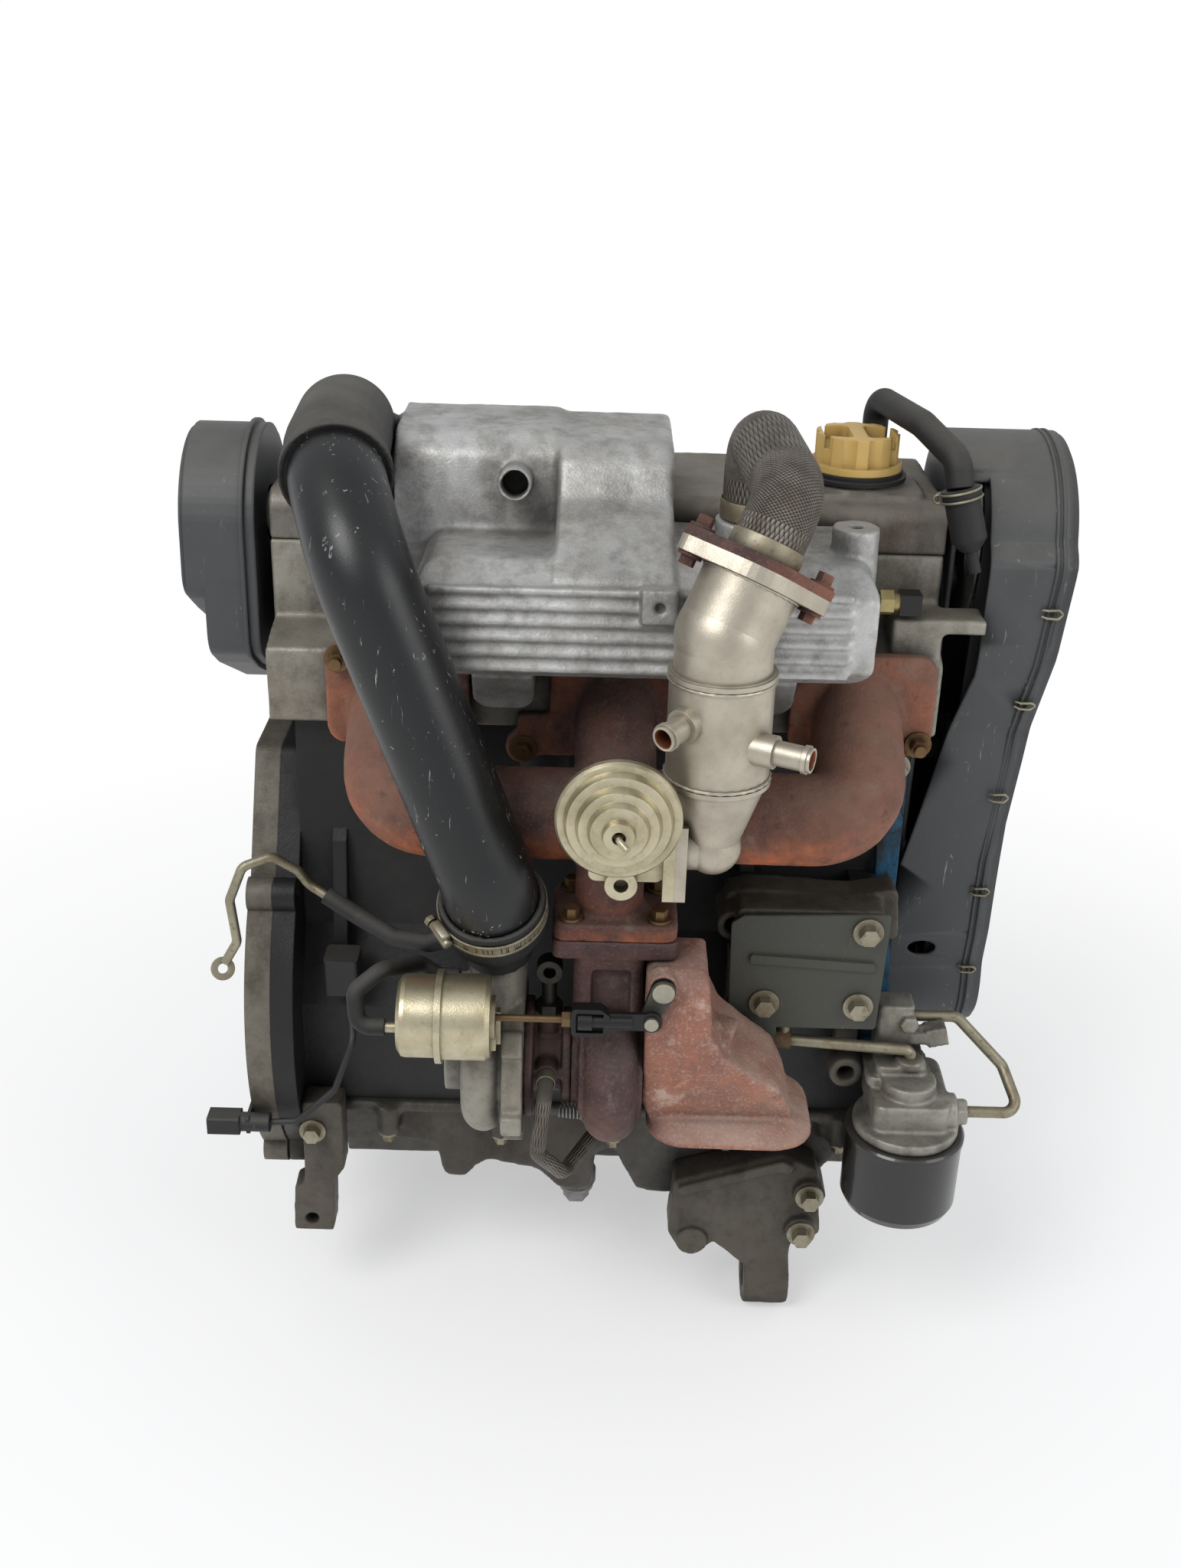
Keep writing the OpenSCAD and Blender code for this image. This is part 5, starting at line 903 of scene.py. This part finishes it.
def make_intake():
    """The plastic pipe and the rubber elbow that carries it to the inlet manifold."""
    radius = bpy.context.scene.engine_sizes.intake_radius
    pipe = swept(PIPE_ROUTE, PIPE_BEND, radius, sides=14)
    settle(pipe, "intake_tube", "pipe_plastic", "intake_pipe", smooth=50.0)
    body = swept(ELBOW_ROUTE, ELBOW_BEND, radius + ELBOW_WALL, sides=12)
    neck = swept(NECK_ROUTE, 0.0, NECK_RADIUS, sides=10)
    end = baked(made("uv_sphere", segments=40, ring_count=24,
                     radius=radius + ELBOW_WALL, location=ELBOW_ROUTE[2]))
    cuff = stand(band(radius + 0.0028, 0.012, 0.0022), ELBOW_ROUTE[0] + at(-0.5, 4.0, 0.7),
                 ELBOW_ROUTE[1] - ELBOW_ROUTE[0])
    elbow = even_skin(merge([body, neck, end, cuff]), WORK_VOXEL)
    modified(elbow, "SMOOTH", iterations=6)
    modified(elbow, "DECIMATE", ratio=0.5)
    settle(elbow, "rubber_elbow", "pipe_plastic", "intake_elbow", FINISHES["old_rubber"], smooth=50.0)


def make_intake_clamp():
    """The worm clamp on the cuff at the compressor."""
    clamp = worm_clamp(bpy.context.scene.engine_sizes.intake_radius + CLAMP_OUT, CLAMP_WIDTH)
    facing(clamp, CUFF_BASE + CUFF_AXIS * CLAMP_ALONG, CUFF_AXIS, CLAMP_SCREW_SIDE)
    settle(clamp, "intake_worm_clamp", "zinc_bolts", "hose_clamp")


# ---- small parts ----
# start, axis and length of the cooler's two spigots
SPIGOTS = ((at(296, -250, 308), (-0.62, -0.75, -0.12), 0.0275),
           (at(330, -250, 292), (0.9, -0.42, -0.02), 0.0375))
LINING_LENGTH = 0.010
VALVE_TOP, VALVE_DOWN = at(470, -84, 404), Vector((0.26, -0.12, -0.95)).normalized()
CLAMP_TOP, CLAMP_PITCH, CLAMP_RADIUS = 0.0015, 0.0052, 0.0131
EAR_X, EAR_FOOT, EAR_TIP = 0.003, -0.0128, -0.0170


def make_spigot_linings():
    """Copper linings in the mouths of the cooler's spigots."""
    linings = []
    for start, axis, reach in SPIGOTS:
        place = start + Vector(axis).normalized() * (reach - LINING_LENGTH / 2)
        linings.append(stand(band(0.0056, LINING_LENGTH, 0.0003), place, axis))
    settle(merge(linings), "spigot_linings", "cooler_steel", finish=FINISHES["copper"])


def make_clamps():
    """The wire clamp of the breather: two rings and two ears that join them."""
    wire = bpy.context.scene.engine_sizes.wire_radius
    parts = []
    for offset in (0.0, CLAMP_PITCH):
        ring = made("torus", major_radius=CLAMP_RADIUS, minor_radius=wire,
                    major_segments=56, minor_segments=8)
        parts.append(stand(ring, VALVE_TOP + VALVE_DOWN * (CLAMP_TOP + offset), VALVE_DOWN))
    for x in (-EAR_X, EAR_X):
        ear = swept([(x, EAR_FOOT, 0.0), (x, EAR_TIP, 0.0), (x, EAR_TIP, CLAMP_PITCH),
                     (x, EAR_FOOT, CLAMP_PITCH)], 0.002, wire, sides=3)
        parts.append(stand(ear, VALVE_TOP + VALVE_DOWN * CLAMP_TOP, VALVE_DOWN))
    settle(merge(parts), "breather_wire_clamp", "zinc_bolts")


def make_pipe_wrap():
    """Glass braid round the oil pipe."""
    wrap = swept([at(369, -138.9, 19.9), at(384, -140.2, 19.6)], 0.0, 0.0068, sides=8)
    settle(wrap, "oil_pipe_wrap", "steel_braid", finish=braided("glass wrap", 14, 12, (0.6, 0.49, 0.38)))


def make_spring():
    """The coil spring beside the turbine outlet."""
    wire = bpy.context.scene.engine_sizes.spring_wire
    spring = coil(at(222, -226, 16), at(244, -226, 14), 0.0042, wire, turns=9)
    settle(spring, "coil_spring", "machined_steel")


# ---- stage ----
EYE = Vector((0.238, -1.145, 0.683))
PITCH = math.radians(25.0)
ROLL = math.radians(1.5)
FRAME_WIDTH = 36.0
LENS = 51.33
MIDDLE = (0.24, 0.0, 0.1)               # what the lights look at
FLOOR_RADIUS, FLOOR_GAP = 9.0, 0.001


def place_camera():
    """A camera at eye height that looks down at the exhaust side, rolled a little."""
    forward = Vector((0.0, math.cos(PITCH), -math.sin(PITCH)))
    level = Vector((1.0, 0.0, 0.0))
    above = Vector((0.0, math.sin(PITCH), math.cos(PITCH)))
    right = level * math.cos(ROLL) + above * math.sin(ROLL)
    up = above * math.cos(ROLL) - level * math.sin(ROLL)
    turn = Matrix((right, up, -forward)).transposed()
    bpy.ops.object.camera_add(location=EYE, rotation=turn.to_euler())
    camera = bpy.context.object
    camera.data.sensor_fit = "HORIZONTAL"
    camera.data.sensor_width = FRAME_WIDTH
    camera.data.lens = LENS
    camera.data.clip_start = 0.05
    camera.data.clip_end = 60.0
    bpy.context.scene.camera = camera


def place_light(name, where, aim, size, power):
    """A round area light that looks at its aim."""
    bpy.ops.object.light_add(type="AREA", location=where)
    lamp = bpy.context.object
    lamp.name = name
    lamp.data.shape = "DISK"
    lamp.data.size = size
    lamp.data.energy = power
    lamp.rotation_euler = (Vector(aim) - Vector(where)).to_track_quat("-Z", "Y").to_euler()


def place_floor():
    """A pale round floor that holds the shadow near the engine and is white farther out."""
    x, y = [(low + high) / 2 for low, high in zip(CAD_LOW[:2], CAD_HIGH[:2])]
    floor = made("circle", vertices=96, radius=FLOOR_RADIUS, fill_type="NGON",
                 location=(x, y, CAD_LOW[2] - FLOOR_GAP))
    floor.name = "floor"
    s = Sheet("pale floor")
    far = s.add("ShaderNodeVectorMath", {"operation": "LENGTH"}, s.place, out="Value").above(0.72, 0.34)
    ray = s.add("ShaderNodeLightPath", {}, out="Is Camera Ray")
    glossy = Wire(s, ray.socket.node.outputs["Is Glossy Ray"])
    white = s.add("ShaderNodeEmission", {}, Color=(1.0, 1.0, 1.0, 1.0), Strength=1.0)
    plain = Wire(s, s.shader.outputs["BSDF"])
    s.shader.inputs["Base Color"].default_value = (0.96, 0.96, 0.96, 1.0)
    s.shader.inputs["Roughness"].default_value = 0.9
    mixed = s.add("ShaderNodeMixShader", {}, (far * 0.6 + 0.4) * (ray + glossy), plain, white)
    s.feed(s.tree.nodes["Material Output"].inputs["Surface"], mixed)
    floor.data.materials.append(s.material)


def set_world():
    """An even studio sky that the camera sees as white."""
    world = bpy.data.worlds.new("studio")
    world.use_nodes = True
    bpy.context.scene.world = world
    nodes, link = world.node_tree.nodes, world.node_tree.links.new
    sky = nodes["Background"]
    sky.inputs["Color"].default_value = (0.95, 0.97, 1.0, 1.0)
    sky.inputs["Strength"].default_value = 0.62
    white = nodes.new("ShaderNodeBackground")
    white.inputs["Color"].default_value = (1.0, 1.0, 1.0, 1.0)
    ray = nodes.new("ShaderNodeLightPath")
    seen = nodes.new("ShaderNodeMath")
    seen.operation = "MAXIMUM"
    mixed = nodes.new("ShaderNodeMixShader")
    link(ray.outputs["Is Camera Ray"], seen.inputs[0])
    link(ray.outputs["Is Transmission Ray"], seen.inputs[1])
    for socket, source in enumerate((seen, sky, white)):
        link(source.outputs[0], mixed.inputs[socket])
    link(mixed.outputs[0], nodes["World Output"].inputs["Surface"])


# ---- sizes and colours ----
def length(name, description, default):
    """A size in metres."""
    return bpy.props.FloatProperty(name=name, description=description, default=default, min=0.0001,
                                   unit="LENGTH")


class EngineSizes(bpy.types.PropertyGroup):
    """Sizes of the small parts, in metres"""

    braid_radius: length("Gas pipe radius", "Outer radius of the braided gas pipe", 0.021)
    drain_radius: length("Drain hose radius", "Outer radius of the braided oil drain hose", 0.0052)
    wire_radius: length("Wire radius", "Radius of the wire of the breather clamp and cover clips", 0.0009)
    spring_wire: length("Spring wire radius", "Radius of the coil spring's wire", 0.0007)
    intake_radius: length("Intake pipe radius", "Outer radius of the plastic intake pipe", 0.0295)


def colour(name, description, default):
    """A display colour of three numbers from 0 to 1."""
    return bpy.props.FloatVectorProperty(name=name, description=description, default=default, size=3, min=0.0,
                                         max=1.0, subtype="COLOR_GAMMA")


class EngineColours(bpy.types.PropertyGroup):
    """Main colours of the castings, covers and pipes"""

    head_alloy: colour("Head", "Bare alloy of the cylinder head", (0.6, 0.59, 0.55))
    inlet_alloy: colour("Inlet manifold", "Bare alloy of the inlet manifold", (0.77, 0.77, 0.765))
    cam_cover: colour("Camshaft cover", "Stained alloy of the camshaft cover", (0.47, 0.455, 0.43))
    # black paint, made darker still as painted shade for where the block lies in shadow behind the turbo
    block_paint: colour("Block", "Blackened paint of the cylinder block", (0.055, 0.058, 0.064))
    block_edge: colour("Block edge", "Clean paint left at the block's front edge", (0.0, 0.3, 0.42))
    sump: colour("Sump", "Oily alloy of the sump", (0.31, 0.3, 0.28))
    adapter_plate: colour("Adapter plate", "Alloy of the gearbox adapter plate", (0.46, 0.44, 0.4))
    bracket: colour("Brackets", "Iron of the mounting brackets", (0.34, 0.32, 0.285))
    pump_alloy: colour("Pump and filter head", "Pressure cast alloy", (0.62, 0.61, 0.57))
    hot_scale: colour("Hot scale", "Dark scale of iron that ran hot", (0.2, 0.135, 0.14))
    rust_brown: colour("Brown rust", "Settled rust of the exhaust manifold", (0.46, 0.32, 0.265))
    rust_orange: colour("Orange rust", "Fresh rust on the undersides", (0.76, 0.43, 0.26))
    turbine_rust: colour("Turbine rust", "Flaking rust of the turbine outlet", (0.5, 0.345, 0.3))
    passivated: colour("Canister and valve", "Pale gold passivated steel", (0.77, 0.735, 0.63))
    cooler: colour("Gas cooler", "Dull stainless steel of the cooler", (0.74, 0.71, 0.65))
    brass: colour("Brass", "Hexagon of the temperature sensor", (0.7, 0.64, 0.45))
    copper: colour("Copper", "Lining of the cooler's spigots", (0.62, 0.36, 0.25))
    cover_plastic: colour("Belt covers", "Plastic of the belt covers", (0.245, 0.25, 0.255))
    pipe_plastic: colour("Intake pipe", "Satin plastic of the intake pipe", (0.045, 0.052, 0.062))
    filler_cap: colour("Filler cap", "Faded plastic of the oil filler cap", (0.78, 0.65, 0.38))
    shield: colour("Shield", "Paint of the shield bracket", (0.24, 0.245, 0.215))
    oil_filter: colour("Oil filter", "Paint of the oil filter", (0.06, 0.052, 0.048))


# ---- operators ----
class ENGINE_OT_dress_castings(bpy.types.Operator):
    """Give every solid of the engine its finish"""

    bl_idname = "engine.dress_castings"
    bl_label = "Dress the castings"

    def execute(self, context):
        dress_nodes()
        return {"FINISHED"}


class ENGINE_OT_cast_skins(bpy.types.Operator):
    """Give the castings softened edges and slight lumps"""

    bl_idname = "engine.cast_skins"
    bl_label = "Cast skins"

    def execute(self, context):
        make_cast_skins()
        return {"FINISHED"}


class ENGINE_OT_braided_pipes(bpy.types.Operator):
    """Make the two braided pipes and their collars"""

    bl_idname = "engine.braided_pipes"
    bl_label = "Braided pipes"

    def execute(self, context):
        make_braids()
        return {"FINISHED"}


class ENGINE_OT_weld_beads(bpy.types.Operator):
    """Run the weld beads of the gas cooler"""

    bl_idname = "engine.weld_beads"
    bl_label = "Weld beads"

    def execute(self, context):
        make_welds()
        return {"FINISHED"}


class ENGINE_OT_belt_covers(bpy.types.Operator):
    """Shape the belt covers and the lips of their seam"""

    bl_idname = "engine.belt_covers"
    bl_label = "Belt covers"

    def execute(self, context):
        make_belt_covers()
        return {"FINISHED"}


class ENGINE_OT_intake_pipe(bpy.types.Operator):
    """Build the intake pipe, its rubber elbow and its worm clamp"""

    bl_idname = "engine.intake_pipe"
    bl_label = "Intake pipe"

    def execute(self, context):
        make_intake()
        make_intake_clamp()
        return {"FINISHED"}


class ENGINE_OT_spigot_linings(bpy.types.Operator):
    """Line the cooler's two spigots with copper"""

    bl_idname = "engine.spigot_linings"
    bl_label = "Spigot linings"

    def execute(self, context):
        make_spigot_linings()
        return {"FINISHED"}


class ENGINE_OT_cover_clips(bpy.types.Operator):
    """Fit the wire clips along the seam of the belt covers"""

    bl_idname = "engine.cover_clips"
    bl_label = "Cover clips"

    def execute(self, context):
        make_clips()
        return {"FINISHED"}


class ENGINE_OT_small_clamps(bpy.types.Operator):
    """Fit the wire clamp of the breather, the pipe wrap and the coil spring"""

    bl_idname = "engine.small_clamps"
    bl_label = "Clamp, wrap and spring"

    def execute(self, context):
        make_clamps()
        make_pipe_wrap()
        make_spring()
        return {"FINISHED"}


class ENGINE_OT_set_stage(bpy.types.Operator):
    """Set the floor, the lights and the camera"""

    bl_idname = "engine.set_stage"
    bl_label = "Set the stage"

    def execute(self, context):
        place_floor()
        set_world()
        place_light("key light", (-1.3, -2.0, 2.6), MIDDLE, 1.8, 62.0)
        place_light("fill light", (2.2, -1.4, 1.2), MIDDLE, 1.6, 16.0)
        place_camera()
        context.scene.view_settings.view_transform = "Standard"
        return {"FINISHED"}


STEPS = (ENGINE_OT_dress_castings, ENGINE_OT_cast_skins, ENGINE_OT_braided_pipes, ENGINE_OT_weld_beads,
         ENGINE_OT_belt_covers, ENGINE_OT_intake_pipe, ENGINE_OT_spigot_linings, ENGINE_OT_cover_clips,
         ENGINE_OT_small_clamps, ENGINE_OT_set_stage)


class ENGINE_PT_dressing(bpy.types.Panel):
    """Lists the steps that dress the engine, and its sizes and colours"""

    bl_label = "Engine dressing"
    bl_idname = "ENGINE_PT_dressing"
    bl_space_type = "VIEW_3D"
    bl_region_type = "UI"
    bl_category = "Engine"

    def draw(self, context):
        for step in STEPS:
            self.layout.operator(step.bl_idname)
        for settings in (context.scene.engine_sizes, context.scene.engine_colours):
            for name in type(settings).__annotations__:
                self.layout.prop(settings, name)


CLASSES = (EngineSizes, EngineColours, *STEPS, ENGINE_PT_dressing)


def register():
    for cls in CLASSES:
        bpy.utils.register_class(cls)
    bpy.types.Scene.engine_sizes = bpy.props.PointerProperty(type=EngineSizes)
    bpy.types.Scene.engine_colours = bpy.props.PointerProperty(type=EngineColours)


def unregister():
    del bpy.types.Scene.engine_colours
    del bpy.types.Scene.engine_sizes
    for cls in reversed(CLASSES):
        bpy.utils.unregister_class(cls)


def main():
    """Registers the add-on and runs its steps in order."""
    register()
    for step in STEPS:
        group, name = step.bl_idname.split(".")
        getattr(getattr(bpy.ops, group), name)()


if __name__ == "__main__":
    main()
